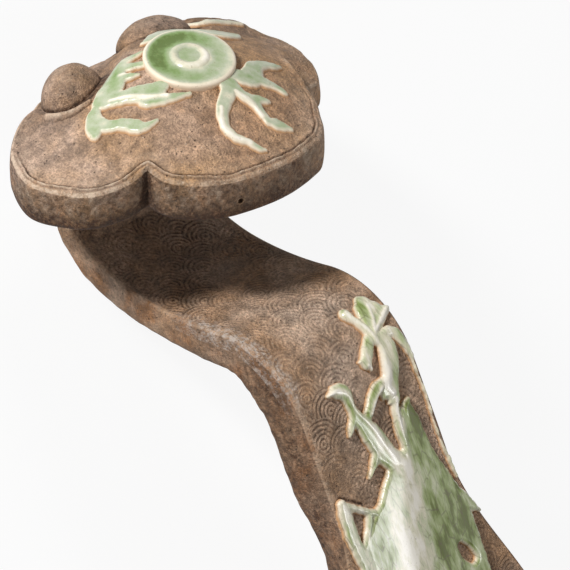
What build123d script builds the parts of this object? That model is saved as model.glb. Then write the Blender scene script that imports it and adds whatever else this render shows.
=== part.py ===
from build123d import *
import os
from math import atan2, cos, degrees, hypot, pi, radians, sin, sqrt

os.makedirs("parts", exist_ok=True)

# A ruyi sceptre of brown stoneware with applied glazed sprigs, lying on its back.
# Origin: middle of the rest land under the neck. +X runs along the shaft to the butt, +Z is up.

# Head, measured in its own tilted plane: u runs toward the butt, w across, n out of the face
head_tilt = 55.0
face_rise = 15.0
skirt_level = -4.0
dome_radius = 56.0
face_thickness = 3.2
base_thickness = 2.6
base_dome_radius = 127.0
base_crown = -5.0
front_reach = 37.4
front_shoulder = (29.8, 22.2)
notch = (17.5, 28.5)
side_front = (8.0, 43.4)
side_widest_u = -4.0
side_reach = 46.8
side_back = (-17.5, 40.0)
side_end = (-25.0, 29.0)
back_reach = -32.6
back_cleft_u = -27.2
cavity_half_length = 24.0
cavity_half_width = 34.0
vent_diameter = 1.2
vent_w = -15.0
vent_n = -5.4

# Volutes at the outer end of the head
knob_u = -24.0
knob_w = 14.5
knob_length = 17.2
knob_width = 19.0
knob_top = 8.0
ridge_height = 1.4

# Neck
neck_back_u = -22.5
neck_thickness = 10.0
neck_width = 36.0

# Shaft, seen from the side
shaft_thickness = 12.0
slab_thickness = 4.0
channel_depth = 4.0
channel_wall = 5.0
channel_start = 12.0
heel_radius = 14.0
rest_depth = 0.9
trough_u = 10.0
trough_n = -44.3
trough_radius = 50.0
trough_turn = 45.0
rise_radius = 100.0
rise_turn = 14.5
arch_radius = 27.0
arch_turn = 76.0
butt_reach = 323.0
butt_height = 9.5

# Shaft, seen from above
shaft_width = 42.0
swell_start = 82.0
swell_centre = 142.0
swell_end = 205.0
swell_width = 74.0
grip_width = 37.0
grip_end = 245.0
butt_centre = 292.0
butt_width = 54.0

# Sprigs
disc_u = 3.0
disc_radius = 11.7
disc_height = 1.9
ring_outer = 4.8
ring_inner = 3.2
ring_height = 0.5
flame_height = 1.5
relief_height = 2.2
limb_start_share = 0.95

# Lengths past the part's own edges, for cutting
reach = 400.0
head_depth = 60.0


def along(point, heading, distance):
    return (
        point[0] + distance * cos(radians(heading)),
        point[1] + distance * sin(radians(heading)),
    )


# Heel: the rounded corner between the neck's back and the shaft's underside
trough_centre_n = trough_n + trough_radius
heel_u = neck_back_u + heel_radius
heel_span = trough_radius + shaft_thickness - heel_radius
heel_n = trough_centre_n - sqrt(heel_span**2 - (trough_u - heel_u) ** 2)
heel_run = degrees(atan2(heel_n - trough_centre_n, heel_u - trough_u))

# The head's plane, set so that the heel's rest land lies at the origin
tilt = radians(head_tilt)
head_x = heel_n * sin(tilt) - heel_u * cos(tilt)
head_z = heel_radius - rest_depth - heel_u * sin(tilt) - heel_n * cos(tilt)
u_axis = (cos(tilt), 0, sin(tilt))
n_axis = (-sin(tilt), 0, cos(tilt))
head_plane = Plane(origin=(head_x, 0, head_z), x_dir=u_axis, z_dir=n_axis)
head_side = Plane(origin=(head_x, 0, head_z), x_dir=u_axis, z_dir=(0, -1, 0))
head_axis = Axis((head_x, 0, head_z), n_axis)

# Shaft side view: the face follows four tangent arcs from the neck to the butt
trough = along(along((head_x, head_z), head_tilt, trough_u), head_tilt + 90, trough_n)
trough_centre = along(trough, head_tilt + 90, trough_radius)
rise_centre = along(trough, head_tilt + 90, rise_radius)
rise_heading = head_tilt + rise_turn
rise_point = along(rise_centre, rise_heading - 90, rise_radius)
arch_centre = along(rise_point, rise_heading - 90, arch_radius)
arch_heading = rise_heading - arch_turn
arch_point = along(arch_centre, arch_heading + 90, arch_radius)
run_x = butt_reach - arch_point[0]
run_z = butt_height - arch_point[1]
run_turn = 2 * (arch_heading - degrees(atan2(run_z, run_x)))
run_radius = hypot(run_x, run_z) / 2 / sin(radians(run_turn / 2))
run_centre = along(arch_point, arch_heading - 90, run_radius)


def face_start(height):
    return along(trough_centre, head_tilt - trough_turn - 90, trough_radius - height)


def face_end(height):
    return along(run_centre, arch_heading - run_turn + 90, run_radius + height)


def face_course(height):
    CenterArc(trough_centre, trough_radius - height, head_tilt - trough_turn - 90, trough_turn)
    CenterArc(rise_centre, rise_radius - height, head_tilt - 90, rise_turn)
    CenterArc(arch_centre, arch_radius + height, rise_heading + 90, -arch_turn)
    CenterArc(run_centre, run_radius + height, arch_heading + 90, -run_turn)


def shaft_layer(low, high):
    """Everything between two heights measured square to the shaft's face."""
    with BuildPart() as layer:
        with BuildSketch(Plane.XZ):
            with BuildLine():
                face_course(low)
                face_course(high)
                Line(face_start(low), face_start(high))
                Line(face_end(low), face_end(high))
            make_face()
        extrude(amount=shaft_width + swell_width, both=True)
    return layer.part


def shaft_plan(inset=0.0):
    """The shaft's outline from above, brought in by a wall if there is one."""
    half_shaft = shaft_width / 2 - inset
    half_swell = swell_width / 2 - inset
    half_grip = grip_width / 2 - inset
    half_butt = butt_width / 2 - inset
    with BuildSketch(Plane.XY) as plan:
        with BuildLine():
            Line((-reach, 0), (-reach, half_shaft))
            Line((-reach, half_shaft), (swell_start, half_shaft))
            Spline((swell_start, half_shaft), (swell_centre, half_swell), tangents=((1, 0), (1, 0)))
            Spline((swell_centre, half_swell), (swell_end, half_grip), tangents=((1, 0), (1, 0)))
            Line((swell_end, half_grip), (grip_end, half_grip))
            Spline((grip_end, half_grip), (butt_centre, half_butt), tangents=((1, 0), (1, 0)))
            Spline((butt_centre, half_butt), (butt_reach - inset, 0), tangents=((1, 0), (0, -1)))
            mirror(about=Plane.XZ)
        make_face()
    return plan.sketch


def dome_level(radius):
    return skirt_level + (face_rise - skirt_level) * (1 + cos(pi * radius / dome_radius)) / 2


def dome_layer(low, high):
    """Everything between two heights above the head's domed face."""
    steps = [dome_radius * k / 6 for k in range(7)]
    with BuildPart() as layer:
        with BuildSketch(head_side):
            with BuildLine():
                Spline([(r, dome_level(r) + low) for r in steps], tangents=((1, 0), (1, 0)))
                Spline([(r, dome_level(r) + high) for r in steps], tangents=((1, 0), (1, 0)))
                Line((0, face_rise + low), (0, face_rise + high))
                Line((dome_radius, skirt_level + low), (dome_radius, skirt_level + high))
            make_face()
        revolve(axis=head_axis)
    return layer.part


def head_outline():
    """The cloud outline: front lobe, side lobes and a double back end."""
    with BuildSketch(head_plane) as plan:
        with BuildLine():
            Spline(
                (front_reach, 0),
                front_shoulder,
                notch,
                tangents=((0, 1), (-1, 0.1)),
            )
            Spline(
                notch,
                side_front,
                (side_widest_u, side_reach),
                side_back,
                side_end,
                tangents=((0, 1), (-0.4, -1)),
            )
            Spline(
                side_end,
                (back_reach, knob_w),
                (back_cleft_u, 0),
                tangents=((-1, -0.8), (1, -1)),
            )
            mirror(about=Plane.XZ)
        make_face()
    return plan.sketch


def strokes(lines, clear_of=()):
    """A flat plan of tapering strokes, cut back where another sprig lies.

    Each line is a row of (along, across, half width). A limb starts a little narrower than
    the end of the limb before it.
    """
    with BuildSketch() as drawing:
        for line in lines:
            for first, second in zip(line, line[1:]):
                with BuildSketch(mode=Mode.PRIVATE) as limb:
                    for (x, y, half_width), share in ((first, limb_start_share), (second, 1)):
                        with Locations((x, y)):
                            Circle(share * half_width)
                    make_hull()
                add(limb.sketch)
        for other in clear_of:
            add(other, mode=Mode.SUBTRACT)
    return drawing.sketch


# Head
with BuildPart() as head_face:
    extrude(head_outline(), amount=head_depth, both=True)
    add(dome_layer(-face_thickness, 0), mode=Mode.INTERSECT)

with BuildPart() as head_wall:
    extrude(head_outline(), amount=head_depth, both=True)
    with BuildSketch(head_plane):
        Ellipse(cavity_half_length, cavity_half_width)
    extrude(amount=head_depth, both=True, mode=Mode.SUBTRACT)
    add(dome_layer(-head_depth, -face_thickness), mode=Mode.INTERSECT)
    with Locations(head_plane * Pos(0, 0, base_crown - base_dome_radius)):
        Sphere(base_dome_radius + base_thickness, mode=Mode.SUBTRACT)
    vent_heading = degrees(atan2(vent_w, front_reach))
    with Locations(head_plane * Pos(0, 0, vent_n) * Rot(0, 0, vent_heading) * Rot(0, 90, 0)):
        Cylinder(
            vent_diameter / 2,
            head_depth,
            align=(Align.CENTER, Align.CENTER, Align.MIN),
            mode=Mode.SUBTRACT,
        )

with BuildPart() as head_base:
    extrude(head_outline(), amount=head_depth, both=True)
    with Locations(head_plane * Pos(0, 0, base_crown - base_dome_radius)):
        Sphere(base_dome_radius + base_thickness, mode=Mode.INTERSECT)
        Sphere(base_dome_radius, mode=Mode.SUBTRACT)


def volute_knob(side):
    """A rounded knob on the face, side -1 for the left and 1 for the right."""
    knob_base = dome_level(hypot(knob_u, knob_w)) - face_thickness
    crown = knob_top - knob_base
    footprint = knob_length / 2
    ball = (footprint**2 + crown**2) / (2 * crown)
    with BuildPart() as knob:
        with BuildSketch(head_plane):
            with Locations((knob_u, side * knob_w)):
                Ellipse(knob_length / 2, knob_width / 2)
        extrude(amount=head_depth, both=True)
        with Locations(head_plane * Pos(knob_u, side * knob_w, knob_top - ball)):
            Sphere(ball, mode=Mode.INTERSECT)
        extrude(head_outline(), amount=head_depth, both=True, mode=Mode.INTERSECT)
        add(dome_layer(-head_depth, 0), mode=Mode.SUBTRACT)
    return knob.part


with BuildPart() as volute_knob_left:
    add(volute_knob(-1))

with BuildPart() as volute_knob_right:
    add(volute_knob(1))

# Neck and shaft
with BuildPart() as neck:
    with BuildSketch(head_side):
        with Locations((neck_back_u + neck_thickness / 2, 0)):
            Rectangle(neck_thickness, 2 * head_depth)
    extrude(amount=neck_width / 2, both=True)
    with Locations(head_plane * Pos(0, 0, base_crown - base_dome_radius)):
        Sphere(base_dome_radius, mode=Mode.INTERSECT)
    add(shaft_layer(-2 * shaft_thickness, 0), mode=Mode.SUBTRACT)

with BuildPart() as heel_waste:
    heel_exit = along((heel_u, heel_n), heel_run, head_depth)
    with BuildSketch(head_side):
        with BuildLine():
            Polyline(
                (neck_back_u, head_depth),
                (neck_back_u - reach, head_depth),
                (neck_back_u - reach, heel_n - head_depth),
                heel_exit,
                (heel_u, heel_n),
                (neck_back_u, heel_n),
                close=True,
            )
        make_face()
        with Locations((heel_u, heel_n)):
            Circle(heel_radius, mode=Mode.SUBTRACT)
    extrude(amount=reach, both=True)


def shaft_slab(low, high):
    """One thickness of the shaft, with its heel rounded and its rest lands flat."""
    with BuildPart() as slab:
        add(shaft_layer(low, high))
        extrude(shaft_plan(), amount=reach, both=True, mode=Mode.INTERSECT)
        add(heel_waste.part, mode=Mode.SUBTRACT)
        with Locations((0, 0, 0)):
            Box(3 * reach, reach, reach, align=(Align.CENTER, Align.CENTER, Align.MAX), mode=Mode.SUBTRACT)
    return slab.part


with BuildPart() as shaft_face:
    add(shaft_slab(-slab_thickness, 0))

with BuildPart() as channel:
    add(shaft_layer(-slab_thickness - channel_depth, -slab_thickness))
    extrude(shaft_plan(channel_wall), amount=reach, both=True, mode=Mode.INTERSECT)
    with Locations((channel_start, 0, 0)):
        Box(reach, reach, reach, align=(Align.MIN, Align.CENTER, Align.CENTER), mode=Mode.INTERSECT)

with BuildPart() as shaft_back:
    add(shaft_slab(-shaft_thickness, -slab_thickness))
    add(channel.part, mode=Mode.SUBTRACT)


def head_relief(plan, low, high):
    """A plan laid on the head's plane and raised between two heights above the face."""
    with BuildPart() as relief:
        with BuildSketch(head_plane):
            add(plan)
        extrude(amount=head_depth, both=True)
        extrude(head_outline(), amount=head_depth, both=True, mode=Mode.INTERSECT)
        add(dome_layer(low, high), mode=Mode.INTERSECT)
    return relief.part


# Sprigs on the head: the pearl, then its flames as rows of (u, w, half width)
with BuildSketch() as disc_plan:
    with Locations((disc_u, 0)):
        Circle(disc_radius)

with BuildSketch() as ring_plan:
    with Locations((disc_u, 0)):
        Circle(ring_outer)
        Circle(ring_inner, mode=Mode.SUBTRACT)

disc = disc_plan.sketch

volute_curl = [(-17, -29.5, 0.9), (-14.7, -28.9, 1.2), (-13.2, -28, 1.3), (-10.8, -26.1, 1.1), (-9, -23, 0.7)]
volute_plan = strokes([volute_curl])

shoulder_tongue = [(-12.2, -0.6, 0.5), (-12.3, 1.3, 0.9), (-13.3, 5.4, 1.5), (-14, 9, 1.6), (-13.5, 13, 1.2)]
shoulder_plan = strokes([shoulder_tongue], [disc])

back_outer_root = [(-21.5, 24.6, 0.5), (-19.8, 24.7, 0.7), (-18.3, 25.8, 0.9), (-17.8, 28.5, 1)]
back_outer_tongue = [(-17.8, 28.5, 1), (-17.4, 33, 1), (-16.8, 36.8, 0.8), (-16, 39.5, 0.5)]
back_outer_plan = strokes([back_outer_root, back_outer_tongue])

back_inner_tongue = [(-11, 14.3, 1.1), (-9.8, 18.2, 2.3), (-8.4, 22.3, 2.7), (-8.2, 26.4, 2), (-8.9, 30.4, 0.6)]
back_inner_plan = strokes([back_inner_tongue], [disc, shoulder_plan])

left_stem = [(-9.3, -12, 1.6), (-8, -14.5, 2.2), (-6, -17.5, 2.6), (-5, -20.5, 2.4), (-5, -22.3, 1.8)]
left_upper = [(-8.2, -4.6, 0.5), (-8.9, -7.2, 0.9), (-9.5, -10.2, 1.2), (-9.3, -12, 1.5)]
left_inner = [(-8.5, -12.6, 1.4), (-6.5, -10.8, 1.2), (-4.8, -9.4, 1), (-3, -7.8, 0.9)]
left_nub = [(-5.5, -15, 1.2), (-3.3, -13, 0.8), (-2.2, -12, 0.4)]
left_lower = [(-4, -22, 1.6), (-1.2, -19.6, 1.6), (1.5, -17, 1.9), (4.6, -14.6, 2.2), (5.6, -11.4, 1.4)]
left_tip = [(5.2, -16.6, 1.6), (8, -14.2, 1.3), (10, -11.8, 0.9), (12, -8.2, 0.4)]
left_limbs = [left_stem, left_upper, left_inner, left_nub, left_lower, left_tip]
left_plan = strokes(left_limbs, [disc, shoulder_plan])

tail_root = [(-4.6, -24.6, 1.3), (-3.2, -26.6, 2), (-1, -28.2, 2.3), (0.6, -29.6, 1.5)]
tail_tongue = [(-1, -27.5, 2), (2, -26.6, 1.6), (5, -24.4, 1.5), (8, -23.2, 1.7), (10.2, -21.6, 1.1), (11.3, -18.8, 0.5)]
left_tail_plan = strokes([tail_root, tail_tongue], [left_plan])

claw_root = [(13, 2, 2), (16.8, 0.2, 2.2), (18.6, -2.8, 2), (20.6, -5.6, 1.9), (23.4, -7.6, 1.5)]
claw_tip = [(23.4, -7.6, 1.5), (26.6, -7.6, 1.4), (29.4, -5.6, 1.2), (32, -4.4, 1), (33, -3.2, 0.5)]
claw_plan = strokes([claw_root, claw_tip], [disc])

middle_tongue = [(15.5, 3, 1.9), (18.6, 2.6, 1.7), (21.8, 4, 1.9), (24.6, 3.6, 1.5), (27.6, 3.6, 1.3)]
middle_tip = [(27.6, 3.6, 1.3), (29.3, 5.3, 1.7), (31.5, 7.6, 0.7)]
middle_barb = [(21.6, 5.4, 1.5), (22.6, 7.2, 1.1), (23.2, 8.3, 0.6)]
middle_plan = strokes([middle_tongue, middle_tip, middle_barb], [disc, claw_plan])

upper_root = [(12, 4.5, 2.2), (15.6, 8.2, 2.6), (14.8, 11, 2.8), (12.6, 13.8, 2.2)]
upper_tongue = [(12.6, 13.8, 2.2), (11.8, 17, 1.7), (12.2, 20.5, 1.5), (12.6, 23.6, 0.6)]
upper_fork = [(15.6, 9.5, 2.2), (17.3, 11.8, 1.9), (19.4, 14, 1.4), (21.6, 15.2, 1), (22.3, 15.6, 0.6)]
upper_plan = strokes([upper_root, upper_tongue, upper_fork], [disc, middle_plan, claw_plan])

with BuildPart() as pearl_disc:
    add(head_relief(disc, 0, disc_height))

with BuildPart() as pearl_ring:
    add(head_relief(ring_plan.sketch, disc_height, disc_height + ring_height))

with BuildPart() as volute_ridge:
    add(head_relief(volute_plan, 0, ridge_height))

with BuildPart() as flame_shoulder:
    add(head_relief(shoulder_plan, 0, flame_height))

with BuildPart() as flame_back_outer:
    add(head_relief(back_outer_plan, 0, flame_height))

with BuildPart() as flame_back_inner:
    add(head_relief(back_inner_plan, 0, flame_height))

with BuildPart() as flame_left:
    add(head_relief(left_plan, 0, flame_height))

with BuildPart() as flame_left_tail:
    add(head_relief(left_tail_plan, 0, flame_height))

with BuildPart() as flame_right_claw:
    add(head_relief(claw_plan, 0, flame_height))

with BuildPart() as flame_right_middle:
    add(head_relief(middle_plan, 0, flame_height))

with BuildPart() as flame_right_upper:
    add(head_relief(upper_plan, 0, flame_height))


def shaft_relief(plan):
    """A plan drawn from above, raised on the shaft's face."""
    with BuildPart() as relief:
        extrude(plan, amount=reach, both=True)
        extrude(shaft_plan(), amount=reach, both=True, mode=Mode.INTERSECT)
        add(shaft_layer(0, relief_height), mode=Mode.INTERSECT)
    return relief.part


# Sprigs on the shaft, as rows of (x, y, half width)
crest_left_tip = [(36.9, 7, 0.9), (39.5, 7.6, 1.2), (43, 8, 1.3), (47.2, 8.2, 1.8)]
crest_fan = [(46.8, 9, 1.6), (43.6, 11.6, 2), (40.6, 13.6, 2.8), (39, 14.2, 2.2)]
crest_fan_right = [(43.2, 12.8, 1.6), (42, 16.2, 1.6), (42.6, 18.2, 0.6)]
crest_fan_left = [(39.2, 12.6, 1.8), (37.3, 11.3, 0.8)]
crest_low_leaf = [(47.6, 7.8, 1.6), (48.4, 5.3, 1.9), (49.7, 3.3, 2.1), (51.8, 4.2, 0.7)]
crest_stem = [(47.2, 8.2, 1.8), (50, 9.4, 2.4), (52.6, 9.9, 2.9), (57.4, 8.7, 2.7), (61.2, 9, 2.6)]
crest_limbs = [crest_left_tip, crest_fan, crest_fan_right, crest_fan_left, crest_low_leaf, crest_stem]
crest_plan = strokes(crest_limbs)

hook_end = [(51.8, -12.6, 0.6), (52, -10.2, 1), (51.8, -7.9, 1.4), (54.2, -6.8, 1.5), (57.9, -6.6, 1.5)]
hook_stem = [(57.9, -6.6, 1.5), (61.4, -5.6, 1.8), (64.6, -3.8, 2.4), (68.6, -2.4, 2.6), (72.4, -1.2, 2.6), (76, 1, 2.4)]
hook_barb = [(59.6, -6.6, 1.2), (60.2, -8.6, 1), (62, -10.6, 0.6)]
hook_thorn = [(70.4, -4, 1.4), (72.4, -6, 1.1), (74.4, -7, 0.8), (76.1, -8.6, 0.4)]
hook_strand = [(57, 6.6, 1.8), (58.4, 3.4, 1.5), (60.8, 0.4, 1.4), (64, -1.6, 1.4)]
hook_plan = strokes([hook_end, hook_stem, hook_barb, hook_thorn, hook_strand], [crest_plan])

body_neck = [(61.2, 9, 2.6), (65.3, 8.8, 3.2), (70.2, 8.4, 3.9), (75, 8.6, 4.8), (81, 5, 9.8)]
body_trunk = [(81, 5, 9.8), (88, 4.4, 13), (96, 5.6, 14.6), (105, 4.6, 14.4), (115, 4, 15.5)]
body_barb = [(95, 17, 3), (101, 22.4, 0.6)]
body_plan = strokes([body_neck, body_trunk, body_barb], [crest_plan, hook_plan])

loop_bow = [(85.5, -9.6, 1.3), (81.4, -13.4, 1.2), (78.6, -17.2, 1.3), (78.2, -19.4, 1.5), (81, -19.7, 1.5)]
loop_return = [(81, -19.7, 1.5), (85, -19.8, 1.6), (89, -19.4, 1.6), (93, -17.6, 1.8), (97, -14, 3)]
loop_strand = [(84.6, -12, 1.2), (88.4, -14.2, 1.1), (92.6, -16.6, 1.3)]
loop_plan = strokes([loop_bow, loop_return, loop_strand], [hook_plan, body_plan])

whisker_root = [(46.8, 12.4, 0.8), (47.4, 14.2, 1.3), (49, 16, 1.5), (51.5, 16.9, 1.1), (53.6, 17.6, 0.9)]
whisker_line = [(53.6, 17.6, 0.9), (57, 17.9, 0.8), (62, 18.1, 0.7), (69, 18, 0.7), (80, 17.9, 0.8), (88.6, 19.2, 0.6)]
whisker_plan = strokes([whisker_root, whisker_line], [crest_plan, body_plan])

tail_trunk = [(110, 3, 13.5), (125, 2, 14), (138, -2, 11), (150, -3, 8.5), (162, 1, 6.5)]
tail_end = [(162, 1, 6.5), (174, 5, 4.5), (184, 3, 2.5), (192, -3, 1)]
tail_plan = strokes([tail_trunk, tail_end], [body_plan, loop_plan])

with BuildPart() as crest:
    add(shaft_relief(crest_plan))

with BuildPart() as hook_branch:
    add(shaft_relief(hook_plan))

with BuildPart() as body:
    add(shaft_relief(body_plan))

with BuildPart() as loop:
    add(shaft_relief(loop_plan))

with BuildPart() as whisker:
    add(shaft_relief(whisker_plan))

with BuildPart() as tail:
    add(shaft_relief(tail_plan))

pieces = {
    "head_face": head_face,
    "head_wall": head_wall,
    "head_base": head_base,
    "volute_knob_left": volute_knob_left,
    "volute_knob_right": volute_knob_right,
    "volute_ridge": volute_ridge,
    "neck": neck,
    "shaft_face": shaft_face,
    "shaft_back": shaft_back,
    "pearl_disc": pearl_disc,
    "pearl_ring": pearl_ring,
    "flame_shoulder": flame_shoulder,
    "flame_back_outer": flame_back_outer,
    "flame_back_inner": flame_back_inner,
    "flame_left": flame_left,
    "flame_left_tail": flame_left_tail,
    "flame_right_upper": flame_right_upper,
    "flame_right_middle": flame_right_middle,
    "flame_right_claw": flame_right_claw,
    "crest": crest,
    "whisker": whisker,
    "hook_branch": hook_branch,
    "body": body,
    "loop": loop,
    "tail": tail,
}
for name, piece in pieces.items():
    piece.part.label = name
    export_step(piece.part, f"parts/{name}.step")
    print(name, len(piece.part.solids()), "solid", round(piece.part.volume), "mm3")
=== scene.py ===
# %% [markdown]
# # A stoneware ruyi sceptre
# A ruyi is a ceremonial sceptre: a cloud-shaped head on a long S-curved shaft. This one is brown,
# unglazed stoneware with small moulded ornaments, called sprigs, stuck on and glazed pale green.
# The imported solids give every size. This lesson dresses each of them with the surface of the real
# piece: stamped waves, an incised rim, grainy clay and pooled glaze.

import math

import bpy
import numpy as np
from mathutils import Matrix, Vector


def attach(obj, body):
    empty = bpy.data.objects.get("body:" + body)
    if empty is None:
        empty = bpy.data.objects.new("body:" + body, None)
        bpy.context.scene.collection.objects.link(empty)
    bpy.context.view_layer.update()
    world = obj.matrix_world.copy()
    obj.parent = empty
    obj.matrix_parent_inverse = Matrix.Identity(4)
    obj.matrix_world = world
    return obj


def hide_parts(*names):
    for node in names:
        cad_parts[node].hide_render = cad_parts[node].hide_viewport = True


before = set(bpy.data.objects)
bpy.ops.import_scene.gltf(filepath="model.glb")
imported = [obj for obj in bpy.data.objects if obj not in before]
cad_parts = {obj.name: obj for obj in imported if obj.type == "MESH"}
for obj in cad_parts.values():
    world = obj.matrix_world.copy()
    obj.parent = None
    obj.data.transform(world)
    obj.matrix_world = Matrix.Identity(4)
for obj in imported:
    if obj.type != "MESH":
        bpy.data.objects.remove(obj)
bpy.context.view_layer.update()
scene = bpy.context.scene

# %% [markdown]
# ## Sizes and the two working frames
# Sizes here are in millimetres, as a potter would note them, and become metres when a mesh is made.
# The head is measured in its own tilted frame: u runs toward the butt, w across, n out of the face.
# The shaft's face follows four tangent arcs. Both repeat the values that shaped the solids, so a
# surface made here lies on its solid without any fitting.

# %% Sizes of the head and the shaft
MM = 0.001

HEAD_TILT = math.radians(55)
FACE_RISE = 15.0
SKIRT_LEVEL = -4.0
DOME_RADIUS = 56.0
FACE_THICKNESS = 3.2
BASE_THICKNESS = 2.6
BASE_DOME_RADIUS = 127.0
BASE_CROWN = -5.0
FRONT_REACH = 37.4
KNOB_LEFT = ((-19.4, -18.2, 1.6), (7.9, 8.5, 9.4))
KNOB_RIGHT = ((-23.0, 14.3, 2.0), (9.0, 11.4, 7.0))

NECK_BACK = -22.5
NECK_THICKNESS = 10.0
NECK_WIDTH = 36.0
SHAFT_THICKNESS = 12.0
SLAB_THICKNESS = 4.0
HEEL_RADIUS = 14.0
REST_DEPTH = 0.9
TROUGH = (10.0, -44.3)
TROUGH_RADIUS = 50.0
TROUGH_TURN = 45.0
RISE_RADIUS = 100.0
RISE_TURN = 14.5
ARCH_RADIUS = 27.0
ARCH_TURN = 76.0
BUTT_REACH = 323.0
BUTT_HEIGHT = 9.5

trough_middle_n = TROUGH[1] + TROUGH_RADIUS
heel_u = NECK_BACK + HEEL_RADIUS
heel_span = TROUGH_RADIUS + SHAFT_THICKNESS - HEEL_RADIUS
heel_n = trough_middle_n - math.sqrt(heel_span**2 - (TROUGH[0] - heel_u) ** 2)
head_x = heel_n * math.sin(HEAD_TILT) - heel_u * math.cos(HEAD_TILT)
head_z = HEEL_RADIUS - REST_DEPTH - heel_u * math.sin(HEAD_TILT) - heel_n * math.cos(HEAD_TILT)


def on_head(u, w, n):
    """Points of the head's own frame, in the object's frame."""
    u, w, n = np.broadcast_arrays(u, w, n)
    x = head_x + u * math.cos(HEAD_TILT) - n * math.sin(HEAD_TILT)
    z = head_z + u * math.sin(HEAD_TILT) + n * math.cos(HEAD_TILT)
    return np.stack([x, w, z], axis=-1)


def head_points(rows):
    """Rows of (u, w, n) as one list of points in the object's frame."""
    return on_head(rows[..., 0], rows[..., 1], rows[..., 2]).reshape(-1, 3)


def dome_level(radius):
    """Height of the head's domed face at a distance from its middle."""
    turn = np.cos(np.pi * np.asarray(radius) / DOME_RADIUS)
    return SKIRT_LEVEL + (FACE_RISE - SKIRT_LEVEL) * (1 + turn) / 2


def smooth(start, end, value):
    """Eases from 0 to 1 between two values."""
    t = np.clip((value - start) / (end - start), 0, 1)
    return t * t * (3 - 2 * t)


def bell(value, width):
    """A rounded hump: 1 at zero, almost gone at twice the width."""
    return np.exp(-((value / width) ** 2))


print(f"head middle at x {head_x:.2f} mm, z {head_z:.2f} mm")

# %% [markdown]
# The real face is not an even dome. It droops between the knobs behind, sinks around the left knob,
# lifts at the right rear and steps down to the right lobe behind a worn ridge.

# %% Uneven face of the head
DROOP = 3.8
LIFT = 2.8
STEP_DOWN = 2.5
MOAT = 1.8
RIDGE_START = (6.8, 30.5)
RIDGE_ALONG = (0.937, -0.35)
RIDGE_WIDTH = 0.7


def beside_ridge(u, w):
    """Distance to the right of the ridge line, and along it."""
    du, dw = u - RIDGE_START[0], w - RIDGE_START[1]
    return du * -RIDGE_ALONG[1] + dw * RIDGE_ALONG[0], du * RIDGE_ALONG[0] + dw * RIDGE_ALONG[1]


def worn_ridge(u, w):
    across, along = beside_ridge(u, w)
    return bell(across, RIDGE_WIDTH) * smooth(-2, 2, along) * smooth(14, 12, along)


def foot_share(u, w, knob):
    """Distance from a knob's middle as a share of its size; 1 is on its foot."""
    (at_u, at_w, _), (size_u, size_w, _) = knob
    return np.hypot((u - at_u) / size_u, (w - at_w) / size_w)


def face_level(u, w):
    """Height of the head's face."""
    across, along = beside_ridge(u, w)
    level = dome_level(np.hypot(u, w))
    level = level - DROOP * smooth(0, -10, u + 11 + 6 * smooth(-8, 2, w)) * smooth(27, 18, np.abs(w))
    level = level + LIFT * smooth(-10, -20, u) * smooth(20, 30, w)
    level = level - STEP_DOWN * smooth(0, 2.5, across) * smooth(-3, 6, along) * smooth(14, 9, across)
    near_knob = smooth(1.5, 1.1, foot_share(u, w, KNOB_LEFT))
    level = level - MOAT * near_knob * smooth(-28, -22, u) * smooth(-30, -26, w)
    return level + worn_ridge(u, w)


for spot, spot_u in (("at the middle", 0.0), ("between the knobs", -22.0)):
    print(f"face {spot}: {float(face_level(spot_u, 0.0)):.1f} mm")

# %% [markdown]
# The course of the shaft is walked once in small steps. At each step we keep the place, the heading
# and how deep the clay is below the face, because the heel under the neck is rounded off.

# %% Walk the shaft's course
STEP = 0.2


def ahead(point, degrees, distance):
    turn = math.radians(degrees)
    return (point[0] + distance * math.cos(turn), point[1] + distance * math.sin(turn))


def shaft_course():
    """Distance, x, z, heading and depth along the middle of the shaft's face."""
    tilt = math.degrees(HEAD_TILT)
    trough = ahead(ahead((head_x, head_z), tilt, TROUGH[0]), tilt + 90, TROUGH[1])
    trough_middle = ahead(trough, tilt + 90, TROUGH_RADIUS)
    rise_middle = ahead(trough, tilt + 90, RISE_RADIUS)
    rise_heading = tilt + RISE_TURN
    rise_end = ahead(rise_middle, rise_heading - 90, RISE_RADIUS)
    arch_middle = ahead(rise_end, rise_heading - 90, ARCH_RADIUS)
    arch_heading = rise_heading - ARCH_TURN
    arch_end = ahead(arch_middle, arch_heading + 90, ARCH_RADIUS)
    run = (BUTT_REACH - arch_end[0], BUTT_HEIGHT - arch_end[1])
    run_turn = 2 * (arch_heading - math.degrees(math.atan2(run[1], run[0])))
    run_radius = math.hypot(*run) / 2 / math.sin(math.radians(run_turn / 2))
    run_middle = ahead(arch_end, arch_heading - 90, run_radius)
    # Each arc: middle, radius, first heading, turn; a turn to the left has its middle above the face
    arcs = [
        (trough_middle, TROUGH_RADIUS, tilt - TROUGH_TURN, TROUGH_TURN),
        (rise_middle, RISE_RADIUS, tilt, RISE_TURN),
        (arch_middle, ARCH_RADIUS, rise_heading, -ARCH_TURN),
        (run_middle, run_radius, arch_heading, -run_turn),
    ]
    places = []
    for middle, radius, heading, turn in arcs:
        count = int(math.radians(abs(turn)) * radius / STEP)
        headings = np.radians(heading + turn * np.arange(count) / count)
        side = math.copysign(1, turn)
        x = middle[0] + side * radius * np.sin(headings)
        z = middle[1] - side * radius * np.cos(headings)
        places.append(np.stack([x, z, headings], axis=1))
    walk = np.concatenate(places)
    run_length = np.concatenate([[0], np.cumsum(np.hypot(*np.diff(walk[:, :2], axis=0).T))])
    return run_length, walk[:, 0], walk[:, 1], walk[:, 2]


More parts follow.
